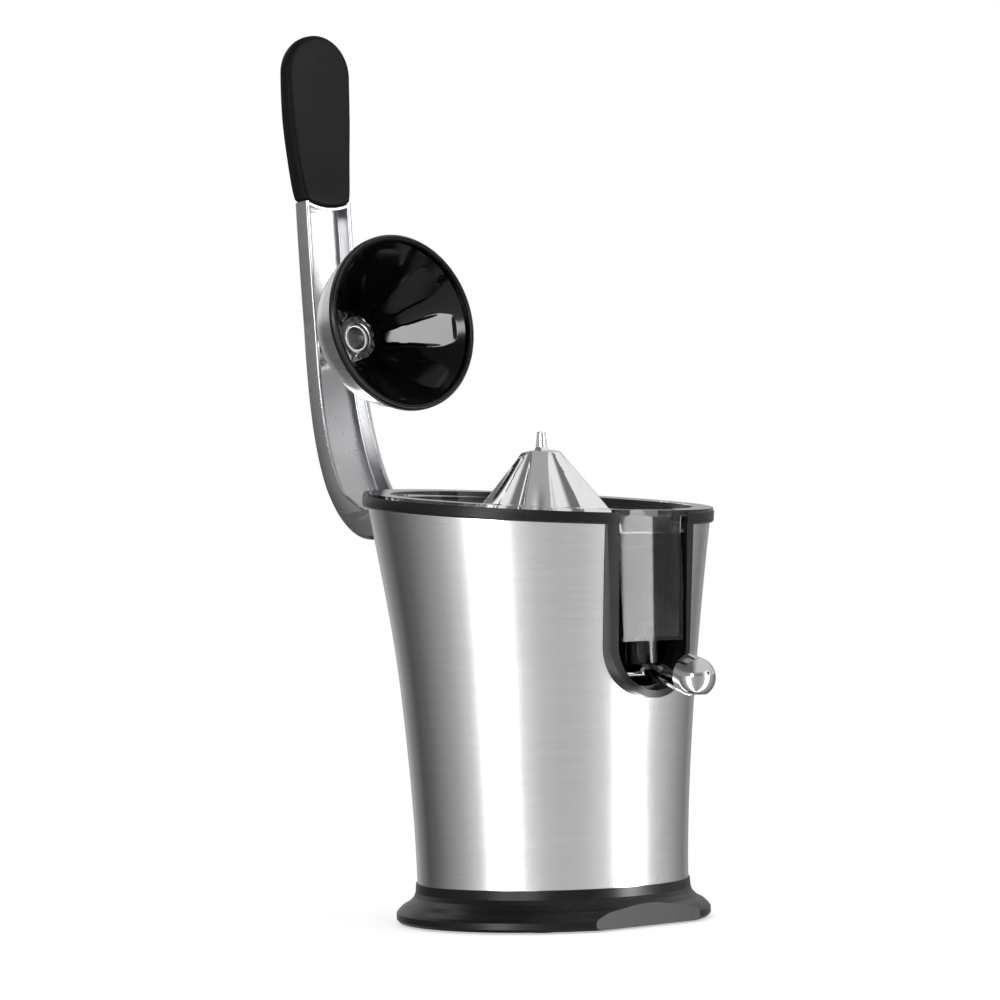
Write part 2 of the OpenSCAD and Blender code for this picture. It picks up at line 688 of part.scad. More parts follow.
module lay_pin() color("silver") at_lay() translate([0, 0, plate_z + 0.5]) cylinder(r = lay_pin_r, h = cover_z - plate_z + 2, $fn = round_fn);

module motor_stator() color("#6a6d70") at_motor() translate([0, 0, stator_z]) difference() {
    intersection() {
        cylinder(r = stator_r, h = stator_h, $fn = round_fn);
        translate([-bolt_ring, -bolt_ring, 0]) cube([2 * bolt_ring, 2 * bolt_ring, stator_h]);
    }
    translate([0, 0, -over]) cylinder(r = stator_bore, h = stator_h + 2 * over, $fn = round_fn);
    on_ring(bolt_ring, foot_angles) translate([0, 0, -over]) cylinder(r = bolt_r + seat_gap, h = stator_h + 2 * over, $fn = round_fn);
}

module motor_windings() color("#a4562c") at_motor()
    for (z = [stator_z - winding_h, stator_z + stator_h]) translate([0, 0, z]) tube(winding_r, stator_bore + 1, winding_h);

module motor_bracket() color("#4a4d50") at_motor() difference() {
    union() {
        translate([0, 0, bracket_z]) cylinder(r = stator_r, h = bracket_t, $fn = round_fn);
        on_ring(bolt_ring, foot_angles) translate([0, 0, bracket_z]) cylinder(r = bolt_r + 1.6, h = stator_z - bracket_z - seat_gap, $fn = round_fn);
        translate([0, 0, bracket_z]) cylinder(r = motor_shaft_r + 4.5, h = 5, $fn = round_fn);
    }
    cylinder(r = motor_shaft_r + 2.5 + seat_gap, h = base_h, $fn = round_fn);
    on_ring(bolt_ring, foot_angles) cylinder(r = bolt_r + seat_gap, h = stator_z, $fn = round_fn);
    for (a = [0:45:315]) rotate(a + 22.5) translate([16, 0, 0]) cylinder(r = 4, h = base_h - over, $fn = round_fn);
}

module motor_bushes() color("#a6824a") at_motor() translate([0, 0, bracket_z]) tube(motor_shaft_r + 2.5, motor_shaft_r + run_gap, 5);

module motor_bolts() color("silver") at_motor() on_ring(bolt_ring, foot_angles) {
    translate([0, 0, bracket_z - 2 - seat_gap]) cylinder(r = bolt_r + 1.2, h = 2, $fn = round_fn);
    translate([0, 0, bracket_z - 1]) cylinder(r = bolt_r, h = plate_z + plate_t - bracket_z, $fn = round_fn);
}

module brush_holders() color("#5b4630") at_motor() for (s = [-1, 1]) translate([s * (commutator_r + loose_gap), 0, 0])
    translate([s > 0 ? 0 : -9, -3, bracket_z + bracket_t + seat_gap]) cube([9, 6, commutator_z + commutator_h - bracket_z - bracket_t]);

module switch_bracket() color("#4a4d50") difference() {
    translate([-switch_x - 2, -2 * switch_y, switch_z - 2]) cube([2 * switch_x + 4, 2 * switch_y + 2, plate_z - seat_gap - switch_z + 2]);
    translate([-switch_x - seat_gap, -3 * switch_y, switch_z]) cube([2 * (switch_x + seat_gap), 4 * switch_y, rim_h]);
}

module switch_body() color("#202224") difference() {
    translate([-switch_x, -2 * switch_y + 1, switch_z + seat_gap]) cube([2 * switch_x, 2 * switch_y, switch_h]);
    translate([0, 0, switch_z + 2]) cylinder(r = plunger_r + run_gap, h = switch_h, $fn = round_fn);
}

module switch_plunger() color("#c8302a") translate([0, 0, switch_z + 6]) cylinder(r = plunger_r, h = shaft_low - switch_z - 6 - loose_gap, $fn = round_fn);

module hinge_bracket() color("#2c2e30") difference() {
    union() {
        translate([-bracket_half, rim_r - 12, bracket_low]) cube([2 * bracket_half, 15, bracket_high - bracket_low]);
        translate([-lug_half, rim_r - 6, pivot_z - lug_r]) cube([2 * lug_half, pivot_y - rim_r + 6, 2 * lug_r]);
        translate([-lug_half, pivot_y, pivot_z]) rotate([0, 90, 0]) cylinder(r = lug_r, h = 2 * lug_half, $fn = round_fn);
        translate([-lug_half + 4, pivot_y, pivot_z - ear_r]) cube([2 * (lug_half - 4), foot_y - pivot_y - loose_gap, arm_t]);
    }
    // the bracket's block fits between the liner and the steel skin
    flared_solid(liner_gap - seat_gap, bracket_low - over, bracket_high + rim_r / 2);
    bracket_shell_cut();
    translate([-rim_r, pivot_y, pivot_z]) rotate([0, 90, 0]) cylinder(r = pin_r + run_gap, h = 2 * rim_r, $fn = round_fn);
    for (x = [-1, 1]) translate([x * (lug_half - 4), rim_r / 2, bracket_low + 6]) rotate([-90, 0, 0])
        cylinder(r = screw_r + run_gap, h = rim_r / 2 + 2, $fn = round_fn);
    above_rim(-band_t - seat_gap);
}

// What the bracket's block leaves to the steel skin: all that lies outside a sloping plane, but for the lug
module bracket_shell_cut() {
    back_low = body_r(bracket_low) + body_reach(bracket_low) - sheet_t - 3;
    back_high = body_r(bracket_high) + body_reach(bracket_high) - sheet_t - 3;
    difference() {
        side_extrude(bracket_half + over) polygon([[back_low, bracket_low - over], [back_high, bracket_high + over],
            [back_high + 20, bracket_high + over], [back_low + 26, bracket_low - over]]);
        translate([-lug_half, 0, pivot_z - lug_r]) cube([2 * lug_half, 2 * rim_r, 2 * lug_r]);
    }
}

module bracket_screws() color("silver") for (x = [-1, 1])
    translate([x * (lug_half - 4), liner_in_y(), bracket_low + 6]) rotate([-90, 0, 0]) {
        translate([0, 0, -flat_head_h]) cylinder(r = flat_head_r, h = flat_head_h, $fn = round_fn);
        cylinder(r = screw_r, h = 9, $fn = round_fn);
    }
function liner_in_y() = let (r = body_r(bracket_low + 6 - flat_head_r) - liner_gap - liner_t)
    sqrt(r * r - pow(lug_half - 4 + flat_head_r, 2)) - seat_gap;

module cord_inlet() color("#0e0e0e") translate([0, base_r + seat_gap, inlet_z]) rotate([90, 0, 0]) difference() {
    union() {
        cylinder(r = inlet_r, h = inlet_l, $fn = round_fn);
        translate([0, 0, -3]) cylinder(r1 = inlet_r - 1, r2 = inlet_r + 1, h = 3, $fn = round_fn);
    }
    translate([0, 0, -4]) cylinder(r = cord_r, h = inlet_l + 6, $fn = round_fn);
}

module terminal_block() color("#e8e4d8") difference() {
    translate([-52, -6, foot_h + 0.5 + cover_t + seat_gap]) cube([14, 26, 10]);
    for (i = [0:2]) translate([-45, -1 + i * 8, foot_h + 8]) cylinder(r = 2, h = 20, $fn = round_fn);
}

module arm_width(inset) translate([0, 2 * rim_r + 3 * arm_half, 0]) rotate([90, 0, 0]) linear_extrude(2 * rim_r) polygon([
    [-ear_half + inset, rim_h / 2], [-ear_half + inset, taper_low], [-arm_half + inset, taper_high],
    [-arm_half + inset, 3 * rim_h], [arm_half - inset, 3 * rim_h], [arm_half - inset, taper_high],
    [ear_half - inset, taper_low], [ear_half - inset, rim_h / 2]]);

module arm_outline() {
    polygon(concat(arm_edge(0, 0, spine_n), reversed(arm_edge(arm_depth, ear_steps, spine_n)),
        [ear_corner, [pivot_y, pivot_z + ear_r], [pivot_y, pivot_z - ear_r]]));
    translate([pivot_y, pivot_z]) circle(ear_r, $fn = round_fn);
}

module lever_arm() color("#b4b6b8") difference() {
    union() {
        difference() {
            intersection() {
                side_extrude(2 * arm_half) arm_outline();
                arm_width(0);
            }
            intersection() {
                side_extrude(2 * arm_half) polygon(concat(arm_edge(arm_t, 0, spine_n),
                    [arm_top + [0, over], [0, arm_top[1] + over], [0, pivot_z - 2 * ear_r], [foot_y, pivot_z - 2 * ear_r]]));
                arm_width(arm_t);
            }
        }
        // curved web that closes the channel under the grip
        intersection() {
            side_extrude(2 * arm_half) polygon(concat(arm_edge(over, 2 * ear_steps, spine_n),
                reversed(arm_edge(arm_depth - 0.4, 2 * ear_steps, spine_n))));
            arm_width(over / 2);
            web_disc(web_r + web_t, web_r + seat_gap);
        }
        // tang inside the grip
        side_extrude(tang_half) polygon([arm_top + [-tang_t - 1, -12], arm_top + [-tang_t + 2, tang_len],
            arm_top + [2, tang_len], arm_top + [-1, -12]]);
    }
    translate([-rim_r, pivot_y, pivot_z]) rotate([0, 90, 0]) cylinder(r = pin_r + run_gap, h = 2 * rim_r, $fn = round_fn);
    head_frame() translate([0, 0, -floor_w - arm_t]) {
        cylinder(r = screw_head_r, h = arm_t + screw_head_h, $fn = round_fn);
        cylinder(r = screw_r + seat_gap, h = 3 * arm_t, $fn = round_fn);
    }
}

// Disc across the channel, whose round underside shapes the web and the grip's foot
module web_disc(ro, ri) translate([0, arm_top[0] + rim_r, arm_top[1] - web_t + web_r]) rotate([90, 0, 0]) difference() {
    cylinder(r = ro, h = 2 * rim_r, $fn = 2 * round_fn);
    translate([0, 0, -over]) cylinder(r = ri, h = 2 * rim_r + 2 * over, $fn = 2 * round_fn);
    translate([-rim_r, 0, -over]) cube([2 * rim_r, rim_r, 2 * rim_r + 2 * over]);
}

module lever_grip() color("#1b1b1c") difference() {
    hull() {
        translate([0, arm_top[0] - arm_depth / 2, arm_top[1] - 5]) grip_slice(arm_half, arm_depth + 1);
        translate([0, arm_top[0] - arm_depth / 2 + 4.5, arm_top[1] + 0.48 * grip_len]) grip_slice(grip_half - 0.9, arm_depth - 1);
        translate([0, arm_top[0] + 0.3, arm_top[1] + grip_len - grip_half]) grip_end(grip_half, 3);
        translate([0, arm_top[0] - 5.7, arm_top[1] + grip_len - grip_half]) grip_end(grip_half - 1.5, 3);
    }
    // round foot over the channel's web
    translate([0, arm_top[0] + rim_r, arm_top[1] - web_t + web_r]) rotate([90, 0, 0]) difference() {
        translate([-rim_r, -2 * web_r, 0]) cube([2 * rim_r, 2 * web_r, 2 * rim_r]);
        translate([0, 0, -over]) cylinder(r = web_r, h = 2 * rim_r + 2 * over, $fn = 2 * round_fn);
    }
    // slot for the tang, and room for the channel's upper end
    side_extrude(tang_half + seat_gap) polygon([arm_top + [-tang_t - 1.1, -12], arm_top + [-tang_t + 1.8, tang_len + 0.2],
        arm_top + [2.1, tang_len + 0.2], arm_top + [-0.9, -12]]);
    intersection() {
        translate([0, 0, seat_gap]) side_extrude(2 * arm_half) polygon(concat(arm_edge(-2, spine_n - 6, spine_n),
            reversed(arm_edge(2 * arm_depth, spine_n - 6, spine_n))));
        translate([-2 * arm_half, 0, 0]) cube([4 * arm_half, 3 * rim_r, arm_top[1] + arm_depth]);
    }
}

module grip_slice(half, depth) linear_extrude(1) offset(r = 3, $fn = 32) square([2 * half - 6, depth - 6], center = true);
module grip_end(half, depth) translate([0, depth / 2, 0]) rotate([90, 0, 0]) cylinder(r = half, h = depth, $fn = 48);

// Frame of the press head: its mouth faces the bowl
module head_frame() translate([0, mouth_y, mouth_z]) rotate([90 - lean, 0, 0]) children();

module press_bell() color("#bfc1c3") difference() {
    head_frame() union() {
        revolve(concat([for (p = bell_shares) [p[0] * bell_r, -bell_top - p[1] * (bell_low - bell_top)]],
            [for (i = [len(bell_shares) - 1:-1:0]) let (p = bell_shares[i])
                [max(apex_r, p[0] * bell_r - bell_t), -bell_top - p[1] * (bell_low - bell_t - bell_top)]]));
        translate([0, 0, -floor_w - 2 * arm_t]) cylinder(r = neck_r, h = floor_w + 2 * arm_t - bell_low + bell_t, $fn = round_fn);
        translate([0, 0, -bell_low]) cylinder(r = apex_r + 1, h = bell_t + 1, $fn = round_fn);
    }
    // the neck stands on the channel's floor
    side_extrude(rim_r) polygon(concat(arm_edge(arm_t + seat_gap, 2 * ear_steps, spine_n),
        [arm_top + [rim_r, 0], spine_pts[2 * ear_steps] + [rim_r, 0]]));
    head_frame() translate([0, 0, -floor_w - 2 * arm_t]) cylinder(r = screw_r + run_gap, h = floor_w + 2 * arm_t - bolt_end, $fn = round_fn);
    head_frame() translate([0, 0, -recess_low - 0.7 - seat_gap]) cylinder(r = recess_r + 1, h = cone_d, $fn = round_fn);
}

module press_cone() color("#0b0b0c") head_frame() {
    revolve([[bell_r, -bell_top + seat_gap], [bell_r - bell_t - 2 * seat_gap, -bell_top + seat_gap],
        [apex_r + cone_t, -cone_d - apex_t], [recess_r + 0.8, -cone_d - apex_t],
        [recess_r + 0.8, -cone_d - 1], [apex_r, -cone_d - 1], [lip_r - lip_t, -lip_h + 0.4], [lip_r - lip_t, -0.6],
        [lip_r - lip_t + 1, -0.6], [lip_r - lip_t + 1, -lip_h - 0.1], [bell_r, -lip_h - 0.1]]);
    intersection() {
        revolve([[pad_in - pad_t, -cone_d - 1], [pad_in - pad_t, -cone_slope(pad_in)], [pad_out - pad_t, -cone_slope(pad_out)],
            [pad_out + cone_t / 2, -cone_slope(pad_out)], [pad_out + cone_t / 2, -cone_slope(pad_out) - 1], [apex_r + 0.4, -cone_d - 1]]);
        for (i = [0:pads - 1]) rotate(i * 360 / pads) rotate([0, 0, -pad_half_angle]) wedge();
    }
}
// Depth of the cone's inner wall at a radius, and one sector for a pad
function cone_slope(r) = lip_h + (cone_d + 1 - lip_h) * (lip_r - lip_t - r) / (lip_r - lip_t - apex_r);
module wedge() translate([0, 0, -2 * cone_d]) linear_extrude(2 * cone_d) polygon([[0, 0], [lip_r, 0],
    [lip_r * cos(pad_half_angle), lip_r * sin(pad_half_angle)], [lip_r * cos(2 * pad_half_angle), lip_r * sin(2 * pad_half_angle)]]);

module cone_lip() color("#1e1e20") head_frame() revolve([[lip_r - lip_t + 1.1, -lip_h], [lip_r - 0.8, -lip_h], [lip_r, -lip_h + 1],
    [lip_r, -1], [lip_r - 0.8, 0], [lip_r - 1.6, 0], [lip_r - 1.9, -0.5], [lip_r - 2.2, 0], [lip_r - lip_t + 1.6, 0], [lip_r - lip_t + 1.1, -0.5]]);

module toothed_ring() color("#c4c6c8") head_frame() translate([0, 0, -cone_d - 1 + seat_gap]) difference() {
    tube(ring_out, ring_in, ring_h);
    for (i = [0:ring_teeth - 1]) rotate(i * 360 / ring_teeth) translate([ring_in + 1, -0.8, 1]) cube([ring_out, 1.6, ring_h]);
}

module hub_cap() color("#8d8f92") head_frame()
    revolve([[0, -recess_low - 0.7], [recess_r + 0.7, -recess_low - 0.7], [recess_r + 0.7, -cone_d - 1 + seat_gap],
        [cap_r, -cone_d - 1 + seat_gap], [cap_r, -cone_d + 0.6], [cap_r - 0.8, -cone_d + 1], [cap_r - 1.4, -cone_d + 0.5],
        [recess_r + 0.6, -cone_d + 0.5], [recess_r, -cone_d], [recess_r, -recess_low], [0, -recess_low]]);

module head_bolt() color("silver") head_frame() translate([0, 0, -floor_w + 0.4]) {
    cylinder(r = screw_head_r - seat_gap, h = screw_head_h - 0.5, $fn = round_fn);
    cylinder(r = screw_r, h = floor_w - bolt_end - over, $fn = round_fn);
}

module hinge_pin() color("silver") translate([0, pivot_y, pivot_z]) rotate([0, 90, 0]) {
    translate([0, 0, -ear_half - pin_head_t - seat_gap]) cylinder(r = pin_head_r, h = pin_head_t, $fn = round_fn);
    translate([0, 0, -ear_half - pin_head_t]) cylinder(r = pin_r, h = 2 * ear_half + pin_head_t + 0.2, $fn = round_fn);
    translate([0, 0, ear_half]) cylinder(r = groove_r, h = 1.6, $fn = round_fn);
    translate([0, 0, ear_half + 1.3]) cylinder(r = pin_r, h = 1.2, $fn = round_fn);
}

module pin_clips() color("#55585b") translate([ear_half + 0.3, pivot_y, pivot_z]) rotate([0, 90, 0]) difference() {
    cylinder(r = pin_head_r, h = 0.9, $fn = round_fn);
    translate([0, 0, -over]) cylinder(r = groove_r + run_gap, h = 4, $fn = round_fn);
    translate([0, -groove_r * 0.8, -over]) cube([pin_head_r * 2, groove_r * 1.6, 4]);
}

// Teeth: a gear between centres has a tooth on the line of centres, its mate a gap
module gear(m, n, phase, t) linear_extrude(t) polygon(gear_outline(m, n, phase));

module double_d(r, flat, h) intersection() {
    cylinder(r = r, h = h, $fn = round_fn);
    translate([-r, -flat / 2, 0]) cube([2 * r, flat, h]);
}

module output_gear() color("#e6e2d6") difference() {
    union() {
        translate([0, 0, output_z]) difference() {
            gear(coarse_m, output_n, lay_angle, gear_t);
            for (a = [0:60:300]) rotate(a) translate([20, 0, -over]) cylinder(r = 6.5, h = gear_t + 2 * over, $fn = round_fn);
        }
        translate([0, 0, plate_z + plate_t - 1]) cylinder(r = sleeve_r, h = output_z + gear_t + 1 - plate_z - plate_t, $fn = round_fn);
    }
    translate([0, 0, plate_z - over]) double_d(shaft_r + run_gap, 1.6 * shaft_r + 2 * run_gap, rim_r);
}

module return_spring() color("silver") translate([0, 0, output_z + gear_t + 0.1])
    tube(spring_r, shaft_r + 0.6, collar_z - output_z - gear_t - 0.2);

module drive_shaft() color("#b9bcbf") difference() {
    union() {
        translate([0, 0, shaft_low]) double_d(shaft_r, 1.6 * shaft_r, cover_z - shaft_low + over);
        translate([0, 0, cover_z]) cylinder(r = shaft_r, h = shaft_high - cover_z, $fn = round_fn);
        translate([0, 0, collar_z]) cylinder(r = spring_r, h = collar_t, $fn = round_fn);
    }
    translate([-rim_r, 0, shaft_high - 28]) rotate([0, 90, 0]) cylinder(r = 1.5 + run_gap, h = 2 * rim_r, $fn = round_fn);
}

module drive_pin() color("silver") translate([-7.5, 0, shaft_high - 28]) rotate([0, 90, 0]) cylinder(r = 1.5, h = 15, $fn = round_fn);

module reamer_hub() color("#202022") difference() {
    union() {
        translate([0, 0, hub_skirt_z]) cylinder(r = hub_r, h = reamer_z - hub_skirt_z, $fn = round_fn);
        translate([0, 0, reamer_z]) cylinder(r1 = hub_r, r2 = hub_tip_r, h = hub_top_z - reamer_z, $fn = round_fn);
        for (a = [0:60:300]) rotate(a) translate([0, -hub_rib_t / 2, reamer_z]) cube([rib_len, hub_rib_t, hub_rib_h]);
    }
    translate([0, 0, hub_skirt_z - over]) cylinder(r = chimney_r + bowl_t + 1.2, h = chimney_z + 3.5 - hub_skirt_z, $fn = round_fn);
    translate([0, 0, hub_skirt_z]) cylinder(r = shaft_r + run_gap, h = shaft_high + 0.2 - hub_skirt_z, $fn = round_fn);
    // cross slot that drops over the drive pin
    translate([-8, -1.6, hub_skirt_z]) cube([16, 3.2, shaft_high - 26.4 - hub_skirt_z]);
}

// Crest radius of the tall ribs at a share of the height below the shoulder
function crest_r(u) = shoulder_r + (reamer_r - shoulder_r) * lookup(u, crest_shares);

module reamer_solid() revolve(concat([[0, reamer_z]],
    [for (i = [len(crest_shares) - 1:-1:0]) let (u = crest_shares[i][0])
        [crest_r(u), shoulder_z - u * (shoulder_z - reamer_z)]],
    [[0, shoulder_z]]));

// One concave flute: a cone laid along the slope, narrow at the top
module flute() translate([flute_low_x, 0, reamer_z]) rotate([0, -flute_lean, 0])
    translate([0, 0, -flute_past_share * flute_len])
        cylinder(r1 = flute_low_r + flute_past_share * (flute_low_r - flute_high_r),
            r2 = flute_high_r - flute_past_share * (flute_low_r - flute_high_r),
            h = (1 + 2 * flute_past_share) * flute_len, $fn = round_fn);

// Plane cut that leaves a flat rib, lower than its tall neighbours
module flat_cut() translate([flat_high_r, 0, flat_high_z]) rotate([0, -flat_lean, 0])
    translate([0, -reamer_r, -2 * reamer_r]) cube([reamer_r, 2 * reamer_r, 3 * reamer_r]);

module reamer_cone() color("#c6c8ca") difference() {
    union() {
        difference() {
            reamer_solid();
            for (i = [0:tall_ribs - 1], side = [-1, 1]) rotate(i * 360 / tall_ribs + side * flute_turn) flute();
            for (i = [0:tall_ribs - 1]) rotate((i + 0.5) * 360 / tall_ribs) flat_cut();
        }
        translate([0, 0, reamer_z - foot_flange_t + flange_rise])
            cylinder(r = foot_flange_r, h = foot_flange_t, $fn = round_fn);
    }
    // hollow over the hub, its ribs and the pin's stem
    translate([0, 0, reamer_z - foot_flange_t - over])
        cylinder(r = hub_r + seat_gap, h = foot_flange_t + over + run_gap, $fn = round_fn);
    translate([0, 0, reamer_z])
        cylinder(r1 = hub_r + seat_gap, r2 = hub_tip_r + seat_gap, h = hub_top_z + seat_gap - reamer_z, $fn = round_fn);
    for (a = [0:60:300]) rotate(a) translate([0, -hub_rib_t / 2 - seat_gap, reamer_z - foot_flange_t])
        cube([rib_len + 2 * seat_gap, hub_rib_t + 2 * seat_gap, foot_flange_t + hub_rib_h + 2 * seat_gap]);
    translate([0, 0, reamer_z]) cylinder(r = pin_stem_r + run_gap, h = rim_h, $fn = round_fn);
}

module reamer_pin() color("#c6c8ca") {
    translate([0, 0, shoulder_z + run_gap])
        revolve(concat([[0, 0]], [for (p = pin_shares) [p[0] * tip_r, p[1] * pin_h]], [[0, pin_h]]));
    translate([0, 0, hub_top_z + flange_rise]) cylinder(r = pin_stem_r, h = shoulder_z - hub_top_z, $fn = round_fn);
}

motor_angle = atan2(motor_y - lay_y, -lay_x);
module lay_gear() color("#e6e2d6") at_lay() difference() {
    union() {
        translate([0, 0, lay_z]) gear(fine_m, lay_n, motor_angle + 180 / lay_n, gear_t);
        translate([0, 0, lay_z + gear_t - over]) gear(coarse_m, pinion_n, lay_angle + 180 + 180 / pinion_n, gear_t + 3 + over);
        translate([0, 0, plate_z + plate_t + loose_gap]) cylinder(r = 6, h = 4, $fn = round_fn);
    }
    translate([0, 0, plate_z]) cylinder(r = lay_pin_r + run_gap, h = rim_r, $fn = round_fn);
}

module motor_pinion() color("#b58b45") at_motor() translate([0, 0, pinion_z]) difference() {
    gear(fine_m, pinion_n, motor_angle + 180, pinion_h);
    translate([0, 0, -over]) cylinder(r = motor_shaft_r + run_gap, h = pinion_h + 2 * over, $fn = round_fn);
}

module rotor_shaft() color("silver") at_motor() translate([0, 0, motor_shaft_z]) cylinder(r = motor_shaft_r, h = pinion_z + pinion_h - motor_shaft_z, $fn = round_fn);

module rotor_core() color("#5d6063") at_motor() translate([0, 0, stator_z]) difference() {
    cylinder(r = stator_bore - core_gap, h = stator_h, $fn = round_fn);
    translate([0, 0, -over]) cylinder(r = motor_shaft_r + run_gap, h = stator_h + 2 * over, $fn = round_fn);
    for (i = [0:11]) rotate(i * 30) translate([stator_bore - 5, -1.1, -over]) cube([6, 2.2, stator_h + 2 * over]);
}

module commutator() color("#b06a35") at_motor() translate([0, 0, commutator_z]) tube(commutator_r, motor_shaft_r + run_gap, commutator_h);

module cooling_fan() color("#2f3134") at_motor() translate([0, 0, fan_z]) difference() {
    union() {
        cylinder(r = fan_r, h = 1.2, $fn = round_fn);
        cylinder(r = 6, h = fan_h, $fn = round_fn);
        for (i = [0:fan_n - 1]) rotate(i * 360 / fan_n) translate([5, -0.6, 0]) cube([fan_r - 5.5, 1.2, fan_h]);
    }
    translate([0, 0, -over]) cylinder(r = motor_shaft_r + run_gap, h = fan_h + 2 * over, $fn = round_fn);
}

// Spout: a tube with a domed end, opened on top behind the dome to take what drips from the nozzle
spout_len = spout_reach - spout_back_y;
module spout_tube(r, back) translate([0, -spout_reach, spout_end_z]) rotate([spout_tilt, 0, 0]) {
    rotate([-90, 0, 0]) cylinder(r1 = r, r2 = spout_taper * r, h = (spout_len - back) / cos(spout_tilt), $fn = round_fn);
    sphere(r = r, $fn = round_fn);
}
module spout() color("#d5d7d9") difference() {
    union() {
        difference() {
            spout_tube(spout_r, 0);
            side_extrude(2 * spout_r) polygon([[-spout_back_y + spout_r, notch_z], [-notch_y, notch_z], [-notch_low_y, notch_low_z],
                [-notch_high_y, notch_z + spout_r], [-spout_back_y + spout_r, notch_z + 2 * spout_r]]);
        }
        translate([-spout_pin_half, -spout_pin_y, spout_pin_z]) rotate([0, 90, 0])
            cylinder(r = spout_pin_r, h = 2 * spout_pin_half, $fn = round_fn);
    }
    spout_tube(spout_r - spout_t, spout_t);
    translate([0, -spout_reach, spout_end_z - 2 * spout_r]) cylinder(r = outlet_r, h = 2 * spout_r, $fn = round_fn);
}

base_ring();
bottom_cover();
feet();
bottom_screws();
steel_housing();
rim_band();
spout_frame();
inner_liner();
juice_bowl();
strainer();
shaft_seal();
shaft_bushes();
gearbox_base();
gearbox_cover();
gearbox_screws();
lay_pin();
motor_stator();
motor_windings();
motor_bracket();
motor_bushes();
motor_bolts();
brush_holders();
switch_bracket();
switch_body();
hinge_bracket();
bracket_screws();
cord_inlet();
terminal_block();
lever_arm();
lever_grip();
press_bell();
press_cone();
cone_lip();
toothed_ring();
hub_cap();
head_bolt();
hinge_pin();
pin_clips();
output_gear();
return_spring();
drive_shaft();
drive_pin();
reamer_hub();
reamer_cone();
reamer_pin();
lay_gear();
rotor_shaft();
rotor_core();
commutator();
motor_pinion();
cooling_fan();
spout();
switch_plunger();
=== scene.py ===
"""Looks of the lever citrus press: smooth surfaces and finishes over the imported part, in metres."""
import math

import bmesh
import bpy
import numpy as np
from bpy.props import FloatProperty, FloatVectorProperty, IntProperty, PointerProperty
from mathutils import Matrix, Vector


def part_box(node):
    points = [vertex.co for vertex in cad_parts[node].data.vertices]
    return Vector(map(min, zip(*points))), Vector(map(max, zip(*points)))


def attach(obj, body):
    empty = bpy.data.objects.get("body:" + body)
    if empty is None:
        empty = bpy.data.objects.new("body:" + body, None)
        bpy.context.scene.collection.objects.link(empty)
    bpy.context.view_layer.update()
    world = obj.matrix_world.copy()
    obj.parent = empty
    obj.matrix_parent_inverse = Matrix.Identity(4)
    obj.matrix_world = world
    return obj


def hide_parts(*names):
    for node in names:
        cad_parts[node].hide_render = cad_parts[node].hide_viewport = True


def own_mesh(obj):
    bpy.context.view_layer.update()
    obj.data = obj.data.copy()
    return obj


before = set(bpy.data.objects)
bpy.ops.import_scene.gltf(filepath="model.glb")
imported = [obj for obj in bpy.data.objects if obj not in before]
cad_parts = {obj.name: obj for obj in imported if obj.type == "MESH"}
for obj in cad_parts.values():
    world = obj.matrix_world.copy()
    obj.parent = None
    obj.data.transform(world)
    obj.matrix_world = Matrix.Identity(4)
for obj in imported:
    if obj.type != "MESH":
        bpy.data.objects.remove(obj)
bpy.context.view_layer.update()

bl_info = {
    "name": "Lever citrus press",
    "version": (1, 0, 0),
    "blender": (4, 5, 0),
    "location": "View3D > Sidebar > Citrus press",
    "description": "Builds the smooth surfaces, finishes and studio of a lever citrus press",
    "category": "Object",
}

MM = 0.001
TURN = 2 * math.pi


# ---------------------------------------------------------------- sizes and colours
def length(name, value, text):
    """A length in metres, given in millimetres."""
    return FloatProperty(name=name, description=text, default=value * MM, unit="LENGTH", precision=5)


def angle(name, value, text):
    """An angle, given in degrees."""
    return FloatProperty(name=name, description=text, default=math.radians(value), subtype="ANGLE")


def factor(name, value, text, low=0.0, high=1.0):
    """A plain share or level."""
    return FloatProperty(name=name, description=text, default=value, min=low, max=high)


def colour(name, value, text):
    """A linear colour."""
    return FloatVectorProperty(name=name, description=text, default=value, subtype="COLOR", size=3, min=0, max=1)


class BodySizes(bpy.types.PropertyGroup):
    """Sizes of the steel housing, its rim and its slot"""
    waist_r: length("Waist radius", 75.6, "Radius of the steel where it enters the base")
    rim_r: length("Rim radius", 94.6, "Radius of the steel at the rim")
    rim_reach: length("Rim reach", 8.6, "How much farther the rim reaches at the back")
    rim_h: length("Rim height", 230.5, "Height of the rim on the reamer's axis")
    rim_slope: angle("Rim slope", 6, "Slope of the rim towards the spout")
    sheet: length("Sheet", 0.8, "Thickness of the steel sheet")
    foot_z: length("Foot", 19, "Height where the steel stands in the base")
    flare_z: length("Flare start", 24, "Height where the flare begins")
    flare_power: FloatProperty(name="Flare power", description="Power of the flare's curve", default=1.55)
    reach_z: length("Reach start", 150, "Height where the back begins to reach out")
    reach_soft: length("Reach softness", 24, "Height over and under that start in which the reach grows smoothly")
    slot_half: length("Slot half width", 26.6, "Half width of the spout slot")
    slot_z: length("Slot centre", 151.9, "Height of the centre of the slot's round end")
    slot_flare: length("Slot flare", 4.4, "How much the slot opens towards the rim, on each side")
    slot_top: length("Slot top", 250.5, "Height where the slot's flare is full")
    lug_half: length("Lug hole half width", 16.8, "Half width of the hole for the hinge lugs")
    lug_low: length("Lug hole foot", 217.7, "Lower edge of the hole for the hinge lugs")
    lug_high: length("Lug hole top", 234.3, "Upper edge of the hole for the hinge lugs")
    tuck: length("Tuck", 1.9, "How far the steel's top lies below the rim's plane")
    band_half: length("Band half gap", 24.6, "Half width of the gap in the rim band, over the slot")
    band_round: length("Band rounding", 0.17, "Rounding of the rim band's edges")


